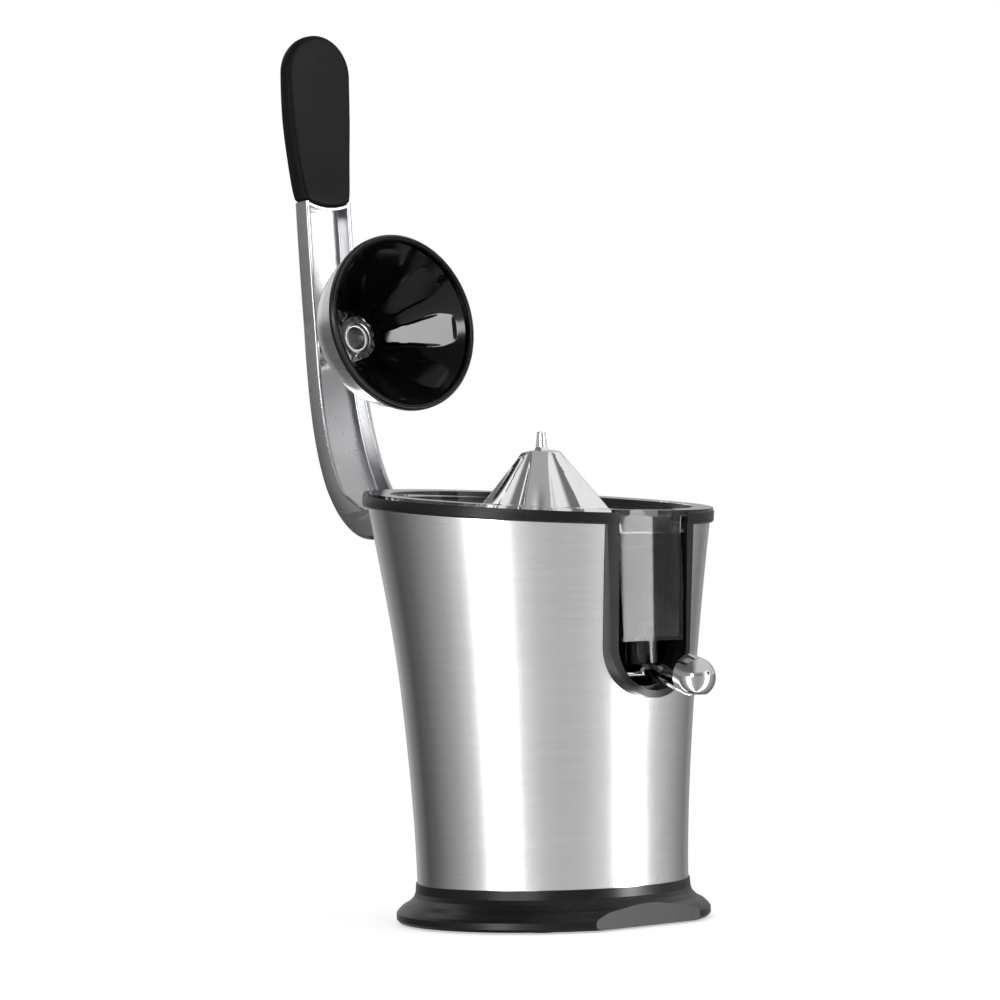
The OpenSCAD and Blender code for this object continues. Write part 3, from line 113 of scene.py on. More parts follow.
class LeverSizes(bpy.types.PropertyGroup):
    """Sizes of the lever's channel and grip"""
    pivot_y: length("Hinge distance", 118.5, "Distance of the hinge behind the reamer's axis")
    pivot_z: length("Hinge height", 226, "Height of the hinge")
    ear_r: length("Ear radius", 9.5, "Radius of the ears' round ends")
    ear_half: length("Ear half width", 20.2, "Half width of the channel at the ears")
    ear_back: length("Ear length", 16.7, "How far the channel's back starts behind the hinge")
    corner_y: length("Ear corner distance", 141, "Distance of the front edge's corner behind the reamer's axis")
    corner_z: length("Ear corner height", 234.3, "Height of the front edge's corner")
    arm_half: length("Channel half width", 17, "Half width of the channel below the grip")
    taper_z: length("Taper foot", 248, "Height where the channel starts to narrow")
    taper: length("Taper length", 102, "Height over which the channel narrows")
    depth: length("Channel depth", 13, "Depth of the channel")
    wall: length("Channel wall", 3, "Wall of the channel")
    run: length("Channel length", 234.5, "Length of the channel along its back")
    fade: length("Bend length", 46, "Length over which the channel's bend falls to a third")
    upright: angle("Upper lean", 3, "Lean of the channel's upper end from upright")
    bend: angle("Bend", 86, "How much more the channel leans at the ears")
    web_r: length("Web radius", 38, "Radius of the curved web below the grip")
    web_t: length("Web thickness", 2.2, "Thickness of the curved web")
    grip_len: length("Grip height", 104.5, "Height of the grip above the channel")
    grip_half: length("Grip half width", 24, "Half width of the grip near its end")
    grip_edge: length("Grip rounding", 3.4, "Rounding of the grip's edges")


class HeadSizes(bpy.types.PropertyGroup):
    """Sizes of the press head, in its own frame"""
    mouth_y: length("Mouth distance", 121.4006, "Distance of the mouth's centre behind the reamer's axis")
    mouth_z: length("Mouth height", 344.9741, "Height of the mouth's centre with the lever raised")
    lean: angle("Lean", 6.7, "How far the raised lever leans back")
    lip_r: length("Lip radius", 53, "Outer radius of the cone's lip")
    cone_d: length("Cone depth", 49, "Depth of the cone")
    apex_r: length("Hub radius", 13.5, "Radius of the cone's flat end")
    pad_t: length("Pad height", 3.4, "Height of a raised pad")
    pads: IntProperty(name="Pads", description="Number of raised pads", default=8, min=3)
    pad_half: angle("Pad half angle", 15, "Half of the angle that a pad takes")
    bell_r: length("Bell radius", 50.2, "Radius of the bell at its mouth")
    bell_low: length("Bell depth", 55.5, "Depth of the bell")
    bell_top: length("Bell start", 6.2, "Depth of the bell's edge behind the lip")
    bell_t: length("Bell wall", 2.2, "Wall of the bell")
    neck_r: length("Neck radius", 12.5, "Radius of the neck that carries the bell")
    neck_end: length("Neck end", 76.6, "Depth where the neck stands in the channel")


class ReamerSizes(bpy.types.PropertyGroup):
    """Sizes of the fluted reamer"""
    foot_r: length("Foot radius", 46, "Radius of the tall ribs at the foot")
    foot_z: length("Foot height", 214, "Height of the ribs' foot")
    shoulder_r: length("Shoulder radius", 7, "Radius of the shoulder below the pin")
    shoulder_z: length("Shoulder height", 261.5, "Height of the shoulder")
    tall_ribs: IntProperty(name="Tall ribs", description="Number of tall ribs, and of flat ones", default=4, min=3)
    flat_r: length("Flat rib radius", 13, "Distance of a flat rib's plane from the axis, just below the shoulder")
    flat_drop: length("Flat rib drop", 4, "How far below the shoulder that distance is taken")
    flat_lean: angle("Flat rib lean", 38.966, "Lean of a flat rib's plane from upright")
    flute_x: length("Flute distance", 57, "Distance of a flute's axis at the foot")
    flute_lean: angle("Flute lean", 41.34, "Lean of a flute's axis from upright")
    flute_r: length("Flute radius", 14, "Radius of a flute at the foot")
    flute_taper: factor("Flute taper", 0.17, "How much a flute's radius shrinks along its axis")
    flute_turn: angle("Flute place", 20, "Angle between a tall rib and the flutes beside it")
    soft: length("Rib rounding", 0.7, "Distance within which ribs and flutes blend")
    groove: length("Rib groove", 0.5, "Depth of the shallow groove down a flat rib")
    pin_r: length("Pin bore", 2.7, "Radius of the hole for the pin")
    coil_r: length("Coil radius", 5.6, "Radius of the return spring's coils, to the wire's middle")
    coil_turns: IntProperty(name="Coils", description="Number of turns of the return spring", default=5, min=2)
    wire_r: length("Spring wire radius", 0.5, "Radius of the return spring's wire")
    travel: length("Press travel", 2.5, "Way that the reamer sinks under a press, which shortens the spring")


class FinishColours(bpy.types.PropertyGroup):
    """Base colours of the finishes"""
    steel: colour("Steel", (0.76, 0.765, 0.775), "Brushed steel of the housing")
    bright_steel: colour("Bright steel", (0.78, 0.785, 0.79), "Polished steel of the reamer and strainer")
    cast: colour("Cast silver", (0.40, 0.404, 0.412), "Satin die cast metal of the lever")
    bell: colour("Bell silver", (0.74, 0.745, 0.755), "Smooth silver of the bell")
    chrome: colour("Chrome", (0.52, 0.525, 0.535), "Plated spout")
    zinc: colour("Zinc", (0.66, 0.68, 0.70), "Plated screws and pins")
    satin_black: colour("Satin black", (0.0085, 0.0085, 0.009), "Moulded black base and band")
    soft_black: colour("Soft black", (0.0055, 0.0055, 0.0058), "Soft coating of the grip")
    gloss_black: colour("Gloss black", (0.0022, 0.0022, 0.0024), "Polished inside of the cone")
    clear: colour("Clear", (0.90, 0.925, 0.935), "Clear plastic of the bowl")


class StudioLevels(bpy.types.PropertyGroup):
    """Levels of the plain studio"""
    lens: FloatProperty(name="Lens", description="Focal length in millimetres on a 36 mm sensor", default=112.5)
    sky: factor("Surround", 0.62, "Level of the plain surround", 0, 2)
    cards: factor("Light cards", 1.0, "Level of the cards that show in polished metal", 0, 2)
    haze: factor("Haze", 0.4, "Level of what shows through clear plastic", 0, 2)
    key: factor("Key", 5.0, "Power of the large soft light in watts", 0, 100)
    fill: factor("Fill share", 0.45, "Power of the second light, as a share of the first")
    floor: factor("Floor", 0.8, "Lightness of the floor")
    lift: factor("Floor lift", 0.52, "Glow of the floor where the camera sees it")


# ---------------------------------------------------------------- meshes from arrays
def quads(grid, around=False, along=False, keep=None):
    """Quads over a grid of points, rows by columns: each joins a point to the next in its row and in the next row.
    around closes every row on itself, along closes the last row on the first, keep marks the quads that stay."""
    rows, cols = grid.shape[:2]
    i = np.arange(rows if along else rows - 1)[:, None]
    j = np.arange(cols if around else cols - 1)[None, :]
    nxt_i, nxt_j = (i + 1) % rows, (j + 1) % cols
    faces = np.stack([i * cols + j, i * cols + nxt_j, nxt_i * cols + nxt_j, nxt_i * cols + j], -1)
    if keep is not None:
        faces = faces[keep[: faces.shape[0], : faces.shape[1]]]
    return grid.reshape(-1, 3), faces.reshape(-1, 4).tolist()


def capped(grid):
    """A tube of rows that each close on themselves, with its first and last row filled."""
    points, faces = quads(grid, around=True)
    rows, cols = grid.shape[:2]
    return points, faces + [list(range(cols))[::-1], [(rows - 1) * cols + j for j in range(cols)]]


def channel_caps(grid):
    """A tube whose row is an outer line followed by an inner line back: its ends are filled between the two lines."""
    points, faces = quads(grid, around=True)
    rows, cols = grid.shape[:2]
    half = cols // 2
    for row, turn in ((0, 1), (rows - 1, -1)):
        for k in range(half - 1):
            faces.append([row * cols + n for n in (k, k + 1, cols - 2 - k, cols - 1 - k)][::turn])
    return points, faces


def piece(name, shells, body, slot, replaces, closed=True, sharp=32):
    """A mesh object from shells of points and faces, at the origin, in place, riding on its body."""
    merge, sliver = 2e-7, 1e-8
    points, faces, offset = [], [], 0
    for shell_points, shell_faces in shells:
        points.append(shell_points)
        faces += [[n + offset for n in f] for f in shell_faces]
        offset += len(shell_points)
    mesh = bpy.data.meshes.new(name)
    mesh.from_pydata(np.concatenate(points).tolist(), [], faces)
    work = bmesh.new()
    work.from_mesh(mesh)
    bmesh.ops.remove_doubles(work, verts=work.verts, dist=merge)
    bmesh.ops.dissolve_degenerate(work, edges=work.edges, dist=sliver)
    if closed:
        bmesh.ops.recalc_face_normals(work, faces=work.faces)
    work.to_mesh(mesh)
    work.free()
    mesh.polygons.foreach_set("use_smooth", np.ones(len(mesh.polygons), bool))
    mesh.set_sharp_from_angle(angle=math.radians(sharp))
    made = bpy.data.objects.new(name, mesh)
    bpy.context.scene.collection.objects.link(made)
    made.data.materials.append(finish_of(slot))
    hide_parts(*replaces)
    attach(made, body)
    return made


def smooth_line(knots, count):
    """A smooth line through knots: a Catmull-Rom spline by chord length, as an array of count points."""
    p = np.asarray(knots, float)
    ends = np.concatenate([[2 * p[0] - p[1]], p, [2 * p[-1] - p[-2]]])
    t = np.concatenate([[0], np.cumsum(np.linalg.norm(np.diff(p, axis=0), axis=1))])
    s = np.linspace(0, t[-1], count)
    k = np.clip(np.searchsorted(t, s, side="right") - 1, 0, len(p) - 2)
    u = ((s - t[k]) / (t[k + 1] - t[k]))[:, None]
    a, b, c, d = ends[k], ends[k + 1], ends[k + 2], ends[k + 3]
    return 0.5 * (2 * b + (c - a) * u + (2 * a - 5 * b + 4 * c - d) * u**2 + (3 * b - a - 3 * c + d) * u**3)


def revolved(profile, columns=192):
    """A closed profile of radius and height turned about Z: x = r cos a, y = r sin a."""
    a = np.linspace(0, TURN, columns, endpoint=False)[None, :]
    r, z = np.asarray(profile, float).T[:, :, None]
    return np.stack([r * np.cos(a), r * np.sin(a), z + 0 * a], -1)


def rounded(points, radius, steps=4):
    """A closed line of flat points with each corner rounded: the corner is cut back by radius on both sides and
    joined by the quadratic curve that has the corner as its middle point."""
    p = np.asarray(points, float)
    before, after = np.roll(p, 1, 0) - p, np.roll(p, -1, 0) - p
    cut = np.minimum(radius, 0.45 * np.minimum(np.linalg.norm(before, axis=1), np.linalg.norm(after, axis=1)))[:, None]
    a = p + before / np.linalg.norm(before, axis=1)[:, None] * cut
    b = p + after / np.linalg.norm(after, axis=1)[:, None] * cut
    u = np.linspace(0, 1, steps + 1)[None, :, None]
    return ((1 - u) ** 2 * a[:, None] + 2 * u * (1 - u) * p[:, None] + u**2 * b[:, None]).reshape(-1, 2)


# ---------------------------------------------------------------- shapes of this press
def body_radius(z):
    """Radius of the steel at a height: the waist's radius plus a power curve up to the rim's."""
    s = bpy.context.scene.press_body
    share = np.maximum(0, (z - s.flare_z) / (s.rim_h - s.flare_z))
    return s.waist_r + (s.rim_r - s.waist_r) * share**s.flare_power


def skin_point(z, a, inset=0.0):
    """Point of the steel at a height and an angle: a circle whose back half is pushed out towards +Y, by a ramp in
    height that starts with a parabola (over + soft)^2 / 4 soft."""
    s = bpy.context.scene.press_body
    r = body_radius(z) - inset
    over = z - s.reach_z
    ramp = np.where(abs(over) < s.reach_soft, (over + s.reach_soft) ** 2 / (4 * s.reach_soft), np.maximum(0, over))
    reach = np.where(np.sin(a) > 0, s.rim_reach * ramp / (s.rim_h - s.reach_z), 0)
    return r * np.cos(a), (r + reach) * np.sin(a)


def rim_height(a, inset, drop):
    """Height at which the steel meets the sloping rim, less drop, found by repeating z = rim + y tan slope."""
    s = bpy.context.scene.press_body
    z = s.rim_h + 0 * a
    for _ in range(5):
        z = s.rim_h + skin_point(z, a, inset)[1] * math.tan(s.rim_slope) - drop
    return z


def housing_surface():
    """Grid over the steel: rows climb from the foot to the sloping rim, columns run round from one side of the spout
    slot to the other. At each height the slot takes the angle asin(half width / radius) off both ends of the row.
    Gives the grid and the marks of its quads that stay, which leave out the hole for the hinge lugs."""
    s = bpy.context.scene.press_body
    low = s.slot_z - s.slot_half
    below = np.linspace(s.foot_z, low, 30)
    bend = low + s.slot_half * (1 - np.cos(np.linspace(0, math.pi / 2, 22)[1:]))
    fixed = np.concatenate([below, bend])
    back_top = rim_height(np.array([math.pi / 2]), 0, s.tuck)[0]
    holes = [(edge - s.slot_z) / (back_top - s.slot_z) for edge in (s.lug_low, s.lug_high)]
    share = np.unique(np.concatenate([np.linspace(0, 1, 22), holes]))[1:]
    slot_turn = 0.65
    side = math.asin(s.lug_half / (s.rim_r + s.rim_reach)) / (TURN - slot_turn)
    u = np.unique(np.concatenate([np.linspace(0, 1, 289), [0.5 - side, 0.5 + side]]))
    z = np.repeat(np.concatenate([fixed, share * 0 + s.slot_z])[:, None], len(u), 1)
    for _ in range(5):
        half = np.where(z < s.slot_z, np.sqrt(np.maximum(0, s.slot_half**2 - (z - s.slot_z) ** 2)),
                        s.slot_half + s.slot_flare * (z - s.slot_z) / (s.slot_top - s.slot_z))
        half = np.where(z <= low + 1e-9, 0, half)
        cut = np.arcsin(half / body_radius(z))
        a = -math.pi / 2 + cut + u[None, :] * (TURN - 2 * cut)
        top = rim_height(a[-1], 0, s.tuck)
        z[len(fixed):] = s.slot_z + share[:, None] * (top - s.slot_z)[None, :]
    x, y = skin_point(z, a)
    keep = np.ones(z.shape, bool)
    first, last = (len(fixed) + int(np.argmin(abs(share - hole))) for hole in holes)
    left, right = (int(np.argmin(abs(u - 0.5 - way * side))) for way in (-1, 1))
    keep[first:last, left:right] = False
    return np.stack([x, y, z], -1), keep


def rim_ring():
    """Rim band: each point of its profile (inset, height over the rim's plane, in mm) runs round from one side of the
    slot to the other. The point lies at y tan(slope) in the rim's plane, plus its height square to that plane."""
    s = bpy.context.scene.press_body
    profile = [(5.2, 0), (-1.42, 0), (-1.42, 1.8), (-1.8, 1.8), (-1.8, -3.8), (-1.1, -4.6), (-0.12, -4.6),
               (-0.12, -1.8), (5.2, -1.8)]
    inset, over = rounded(profile, s.band_round / MM).T * MM
    slot_drop = 9 * MM
    cut = np.arcsin(s.band_half / (body_radius(s.rim_h - slot_drop) - inset))[None, :]
    u = np.linspace(0, 1, 241)[:, None]
    a = -math.pi / 2 + cut + u * (TURN - 2 * cut)
    z = rim_height(a, inset[None, :], 0)
    x, y = skin_point(z, a, inset[None, :])
    t = s.rim_slope
    return np.stack([x, y - over * math.sin(t), s.rim_h + y * math.tan(t) + over * math.cos(t)], -1)


def spine():
    """Back of the lever's channel from the ears up: its lean from upright falls off as upright + bend exp(-s / fade),
    and the points are the running sums of sin and cos of it. Gives points (y, z), the normals towards the inside and
    the length up to each point."""
    s = bpy.context.scene.press_lever
    count = 230
    pace = s.run / count
    at = np.arange(count + 1) * pace
    lean = s.upright + s.bend * np.exp(-at / s.fade)
    mid = s.upright + s.bend * np.exp(-(at[:-1] + pace / 2) / s.fade)
    y = s.pivot_y + s.ear_back + np.concatenate([[0], np.cumsum(pace * np.sin(mid))])
    z = s.pivot_z - s.ear_r + np.concatenate([[0], np.cumsum(pace * np.cos(mid))])
    return np.stack([y, z], -1), np.stack([-np.cos(lean), np.sin(lean)], -1), at


def channel_half(z):
    """Half width of the channel: wide at the ears, narrower above, with a straight taper between."""
    s = bpy.context.scene.press_lever
    share = np.clip((z - s.taper_z) / s.taper, 0, 1)
    return s.ear_half + (s.arm_half - s.ear_half) * share


def channel_rings():
    """Section of the channel carried along the spine. Each ring is a U: outer line from one front lip round the back
    to the other, then the inner line. Above the ears the front edge lies one depth in front of the back. Round the
    ears it follows the pivot's circle from below, over the front to the top, and then two straight lines."""
    s = bpy.context.scene.press_lever
    back, normal, at = spine()
    front = back + normal * s.depth
    ear_share, circle_share, corner_share = 8 / 46, 0.6, 0.84
    ears = int(np.argmin(abs(at - ear_share * s.run)))
    t = np.linspace(0, 1, ears + 1)
    turn = np.radians(-90 - 180 * np.clip(t / circle_share, 0, 1))
    circle = np.stack([s.pivot_y + s.ear_r * np.cos(turn), s.pivot_z + s.ear_r * np.sin(turn)], -1)
    line = np.array([circle[-1], (s.corner_y, s.corner_z), front[ears]])
    along = np.interp(t, [circle_share, corner_share, 1], [0, 1, 2])
    straight = np.stack([np.interp(along, [0, 1, 2], line[:, k]) for k in (0, 1)], -1)
    front[: ears + 1] = np.where((t > circle_share)[:, None], straight, circle)
    to_front = (front - back) / np.linalg.norm(front - back, axis=1, keepdims=True)
    half, half_front = channel_half(back[:, 1]), channel_half(front[:, 1])
    lip, outside, inside = 1.1 * MM, 2.6 * MM, 1.2 * MM
    steps = [(1 - math.cos(q), 1 - math.sin(q)) for q in np.linspace(0, math.pi / 2, 5)]

    def at_front(drop, inset):
        return np.stack([half_front - inset, *(front - to_front * drop).T], -1)

    def at_back(rise, inset):
        return np.stack([half - inset, *(back + normal * rise).T], -1)

    outer = [at_front(0, s.wall / 2)]
    outer += [at_front(lip * p, lip * q) for p, q in steps]
    outer += [at_back(outside * q, outside * p) for p, q in steps]
    inner = [at_front(0, s.wall / 2)]
    inner += [at_front(lip * p, s.wall - lip * q) for p, q in steps]
    inner += [at_back(s.wall + inside * q, s.wall + inside * p) for p, q in steps]
    outer, inner = np.stack(outer, 1), np.stack(inner, 1)
    outer, inner = (np.concatenate([side, side[:, ::-1] * [-1, 1, 1]], 1) for side in (outer, inner))
    return np.concatenate([outer, inner[:, ::-1]], 1)


def web_rings():
    """Curved web below the grip: a thin section carried along an arc of a circle over the channel's end."""
    s = bpy.context.scene.press_lever
    top_y, top_z = spine()[0][-1]
    centre = top_z - s.web_t + s.web_r
    sunk, low, soft = 0.6 * MM, s.depth - 0.5 * MM, 0.7 * MM
    outer_r = s.web_r + s.web_t
    limit = math.asin((s.arm_half - sunk) / outer_r)
    a = np.linspace(-limit, limit, 41)[:, None]
    section = rounded([(s.web_r, sunk), (s.web_r, low), (outer_r, low), (outer_r, sunk)], soft)
    r, depth = section.T[:, None, :]
    return np.stack([r * np.sin(a), top_y - depth + 0 * a, centre - r * np.cos(a)], -1)


def grip_rings():
    """Paddle of the grip: its outline in front view is carried from face to face. Each ring is the outline drawn in by
    the edge's rounding, at the depth of a quarter circle, and the two faces close by rings that shrink to the middle.
    The faces lean and thin towards the end."""
    s = bpy.context.scene.press_lever
    top_y, top_z = spine()[0][-1]
    end_z = s.grip_len - s.grip_half
    knots = [(s.arm_half + 0.2 * MM, 2.4 * MM), (s.arm_half + 1.7 * MM, 9.5 * MM), (s.arm_half + 3.7 * MM, 27.5 * MM),
             (s.grip_half - 1.2 * MM, 48.5 * MM), (s.grip_half - 0.35 * MM, 65.5 * MM), (s.grip_half, end_z)]
    side = smooth_line(knots, 40)
    q = np.linspace(0, math.pi / 2, 25)[1:]
    cap = np.stack([s.grip_half * np.cos(q), end_z + s.grip_half * np.sin(q)], -1)
    foot_inset = 1.2 * MM
    low = np.linspace(0, math.asin((s.arm_half - foot_inset) / s.web_r), 14)
    foot = np.stack([s.web_r * np.sin(low), s.web_r - s.web_t - s.web_r * np.cos(low)], -1)
    half_line = np.concatenate([foot, side, cap])
    outline = np.concatenate([half_line, half_line[-2:0:-1] * [-1, 1]])
    tangent = np.roll(outline, -1, 0) - np.roll(outline, 1, 0)
    outward = np.stack([tangent[:, 1], -tangent[:, 0]], -1) / np.linalg.norm(tangent, axis=1)[:, None]
    heights = [0, 0.48, 1]
    back_y, front_y = (np.poly1d(np.polyfit(heights, np.array(depths) * MM, 2))
                       for depths in ((0.5, 4, 1.8), (-13.3, -8, -7.2)))
    edge = s.grip_edge

    def row(ring, q):
        share = np.clip(ring[:, 1] / s.grip_len, 0, 1)
        middle, thick = (back_y(share) + front_y(share)) / 2, (back_y(share) - front_y(share)) / 2
        y = middle + (thick - edge) * (np.sign(q) if abs(q) > 1e-6 else 0) + edge * math.sin(q)
        return np.stack([ring[:, 0], top_y + y, top_z + ring[:, 1]], -1)

    centre = outline.mean(0)
    flat = outline - outward * edge
    inner = [centre + (flat - centre) * share for share in np.linspace(1, 0.02, 9)[1:]]
    rows = [row(ring, -math.pi / 2) for ring in inner[::-1]]
    rows += [row(outline - outward * edge * (1 - math.cos(q)), q) for q in np.linspace(-math.pi / 2, math.pi / 2, 13)]
    rows += [row(ring, math.pi / 2) for ring in inner]
    return np.stack(rows)


def from_head(points):
    """Points of the press head's own frame, +Z out of the mouth, turned about X and moved to the raised mouth."""
    s = bpy.context.scene.press_head
    cos_t, sin_t = math.sin(s.lean), math.cos(s.lean)
    x, y, z = np.moveaxis(points, -1, 0)
    return np.stack([x, s.mouth_y + y * cos_t - z * sin_t, s.mouth_z + y * sin_t + z * cos_t], -1)


def step(x, low, high):
    """Smooth step from 0 at low to 1 at high."""
    t = np.clip((x - low) / (high - low), 0, 1)
    return t * t * (3 - 2 * t)


def cone_surface():
    """Press cone: its closed wall section turned about the head's axis. On the inner slope each pad raises the wall
    along its normal by the pad's height, which falls off towards the mouth, times a smooth step in angle and in
    radius, less the share that makes the pad's face a plane, cos(slope) r (1 - cos(angle from its middle))."""
    s = bpy.context.scene.press_head
    columns, rows = 384, 90
    inner_r, low, high = s.lip_r - 4 * MM, -s.cone_d - 1 * MM, -4.1 * MM
    slope = np.stack([np.linspace(s.apex_r, inner_r, rows), np.linspace(low, high, rows)], -1)
    lip = np.array([(-4, -0.6), (-3, -0.6), (-3, -4.6), (-2.8, -4.6), (-2.8, -6.1)]) * MM + [s.lip_r, 0]
    outside = np.array([(47.8, -6.1), (15.5, -51), (7.3, -51), (7.3, -50)]) * MM
    grid = revolved(np.concatenate([slope, lip, outside]), columns)
    a = np.linspace(0, TURN, columns, endpoint=False)[None, :]
    r = slope[:, :1]
    run = math.hypot(inner_r - s.apex_r, high - low)
    cos_slope, sin_slope = (high - low) / run, (inner_r - s.apex_r) / run
    pitch = TURN / s.pads
    off = abs((a + pitch / 2) % pitch - pitch / 2)
    past_edge = math.radians(2)
    edge = 1 - step((off - s.pad_half) * r, -1.3 * MM, 0.2 * MM)
    plane = cos_slope * r * (1 - np.cos(np.minimum(off, s.pad_half + past_edge)))
    foot_r, foot_soft, end_r, end_soft = 17 * MM, 18.6 * MM, 46 * MM, 44.4 * MM
    full_r, thin_r, thinning = 17.5 * MM, 46 * MM, 0.85
    thick = s.pad_t * (1 - thinning * (r - full_r) / (thin_r - full_r))
    rise = np.maximum(0, thick - plane) * edge * step(r, foot_r, foot_soft) * (1 - step(r, end_soft, end_r))
    grid[:rows] += np.stack([-rise * np.cos(a) * cos_slope, -rise * np.sin(a) * cos_slope, rise * sin_slope], -1)
    return from_head(grid)


def bell_surface():
    """Bell over the cone: a smooth line from the mouth to the neck, the neck into the channel, and back inside."""
    s = bpy.context.scene.press_head
    shares = np.array([(1, 0), (0.985, 0.1), (0.96, 0.24), (0.895, 0.4), (0.785, 0.565), (0.62, 0.725), (0.44, 0.85)])
    to_neck = np.array([(3.2, 1.2), (0.4, -1.4)]) * MM + [s.neck_r, -s.bell_low]
    inside, bore_r = -s.bell_low + s.bell_t, 8 * MM
    outer = shares * [s.bell_r, s.bell_top - s.bell_low] - [0, s.bell_top]
    inner = shares * [s.bell_r, s.bell_top + inside] - [s.bell_t, s.bell_top]
    outer = smooth_line(np.concatenate([outer, to_neck]), 70)
    neck = [(s.neck_r, -s.bell_low - 3 * MM), (s.neck_r, -s.neck_end)]
    hollow = [(bore_r, -s.neck_end), (bore_r, inside), (s.apex_r + 1 * MM, inside)]
    return from_head(revolved(np.concatenate([outer, neck, hollow, smooth_line(inner, 40)[::-1]])))


def blended(a, b, soft):
    """The smaller of two radii, rounded where they meet within a soft distance."""
    h = np.clip(0.5 + 0.5 * (a - b) / soft, 0, 1)
    return a * (1 - h) + b * h - soft * h * (1 - h)


def reamer_surface():
    """Fluted reamer: the radius at an angle and a height is the smallest of three. The crest of the tall ribs is a line
    of shares from the shoulder to the foot. A flat rib's plane gives its distance over the cosine of the angle to it.
    A flute is a leaning cone: the near root of its circle at that height, with the cone's radius found by repeating."""
    s = bpy.context.scene.press_reamer
    shares = np.array([(0, 0), (0.017, 0.1), (0.042, 0.17), (0.084, 0.22), (0.126, 0.25), (0.8, 0.885), (1, 1)])
    u = np.concatenate([[0, 0.004, 0.009], np.linspace(0.017, 1, 108)])[:, None]
    bent = smooth_line(shares, 400)
    crest = s.shoulder_r + (s.foot_r - s.shoulder_r) * np.interp(u, bent[:, 0], bent[:, 1])
    z = s.shoulder_z - u * (s.shoulder_z - s.foot_z)
    pitch = TURN / s.tall_ribs
    columns = s.tall_ribs * 96
    a = np.linspace(0, TURN, columns, endpoint=False)[None, :]
    in_pitch = a % pitch
    from_flat = in_pitch - pitch / 2
    plane = (s.flat_r + (s.shoulder_z - s.flat_drop - z) * math.tan(s.flat_lean)) / np.cos(from_flat)
    groove_half = 2.4 * MM
    plane = plane - s.groove * step(u, 0.35, 0.9) * np.exp(-(plane * np.sin(from_flat) / groove_half) ** 2)
    off = np.where(from_flat < 0, in_pitch - s.flute_turn, in_pitch - pitch + s.flute_turn)
    axis = s.flute_x - (z - s.foot_z) * math.tan(s.flute_lean)
    cos_l, sin_l = math.cos(s.flute_lean), math.sin(s.flute_lean)
    crest = crest + 0 * a
    near, no_flute = crest, crest + 5 * MM
    for _ in range(6):
        along = (z - s.foot_z) / cos_l + (axis - near * np.cos(off)) * sin_l
        cone = s.flute_r - s.flute_taper * along
        qa = (np.cos(off) * cos_l) ** 2 + np.sin(off) ** 2
        qb = -2 * np.cos(off) * axis * cos_l**2
        root = qb * qb - 4 * qa * ((axis * cos_l) ** 2 - cone**2)
        near = np.where(root > 0, (-qb - np.sqrt(np.maximum(0, root))) / (2 * qa), no_flute)
    r = blended(blended(crest, plane, s.soft), near, s.soft)
    r[0] = s.shoulder_r
    ribs = np.stack([r * np.cos(a), r * np.sin(a), z + 0 * a], -1)
    shelf = ribs[-1:] * [1, 1, 0] + [0, 0, s.foot_z + 0.5 * MM]
    flange = np.array([(1, 0.5), (1.5, 0), (1.5, -1), (1, -1.5), (-28, -1.5)]) * MM + [s.foot_r, s.foot_z]
    top = np.array([(s.pin_r, s.shoulder_z), (s.shoulder_r - 0.4 * MM, s.shoulder_z)])
    bore_r, bore_z = 8 * MM, 246 * MM
    inside = np.array([(bore_r, bore_z), (s.pin_r, bore_z)])
    top, flange, inside = (revolved(line, columns) for line in (top, flange, inside))
    return np.concatenate([top, ribs, shelf, flange, inside])


def spring_rings():
    """Return spring: a helix at the coil radius that climbs from the solid's foot to its top at a steady pitch,
    with a ring of the wire's radius about each of its points, in the upright plane through the axis."""
    s = bpy.context.scene.press_reamer
    low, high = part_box("return_spring")
    points_per_turn, points_around = 32, 12
    along = np.linspace(0, 1, points_per_turn * s.coil_turns + 1)[:, None]
    a = along * s.coil_turns * TURN
    t = np.linspace(0, TURN, points_around, endpoint=False)[None, :]
    r = s.coil_r + s.wire_r * np.cos(t)
    z = low[2] + s.wire_r + along * (high[2] - low[2] - 2 * s.wire_r) + s.wire_r * np.sin(t)
    return np.stack([r * np.cos(a), r * np.sin(a), z + 0 * a], -1)


# ---------------------------------------------------------------- shader nodes
def node(tree, kind, inputs=None, **settings):
    """A shader node with its plain values and settings."""
    made = tree.nodes.new("ShaderNode" + kind)
    for key, value in settings.items():
        setattr(made, key, value)
    for key, value in (inputs or {}).items():
        made.inputs[key].default_value = value
    return made


def wire(*links):
    """Link nodes of one tree: each link is a node, its output, a second node and its input."""
    for source, way_out, sink, way_in in links:
        source.id_data.links.new(source.outputs[way_out], sink.inputs[way_in])


def group(name, inputs, outputs):
    """An empty shader node group with float or vector inputs, float outputs, and its two end nodes."""
    tree = bpy.data.node_groups.new(name, "ShaderNodeTree")
    for label, value in inputs.items():
        kind = "NodeSocketFloat" if isinstance(value, float) else "NodeSocketVector"
        tree.interface.new_socket(label, in_out="INPUT", socket_type=kind).default_value = value
    for label in outputs:
        tree.interface.new_socket(label, in_out="OUTPUT", socket_type="NodeSocketFloat")
    return tree, tree.nodes.new("NodeGroupInput"), tree.nodes.new("NodeGroupOutput")


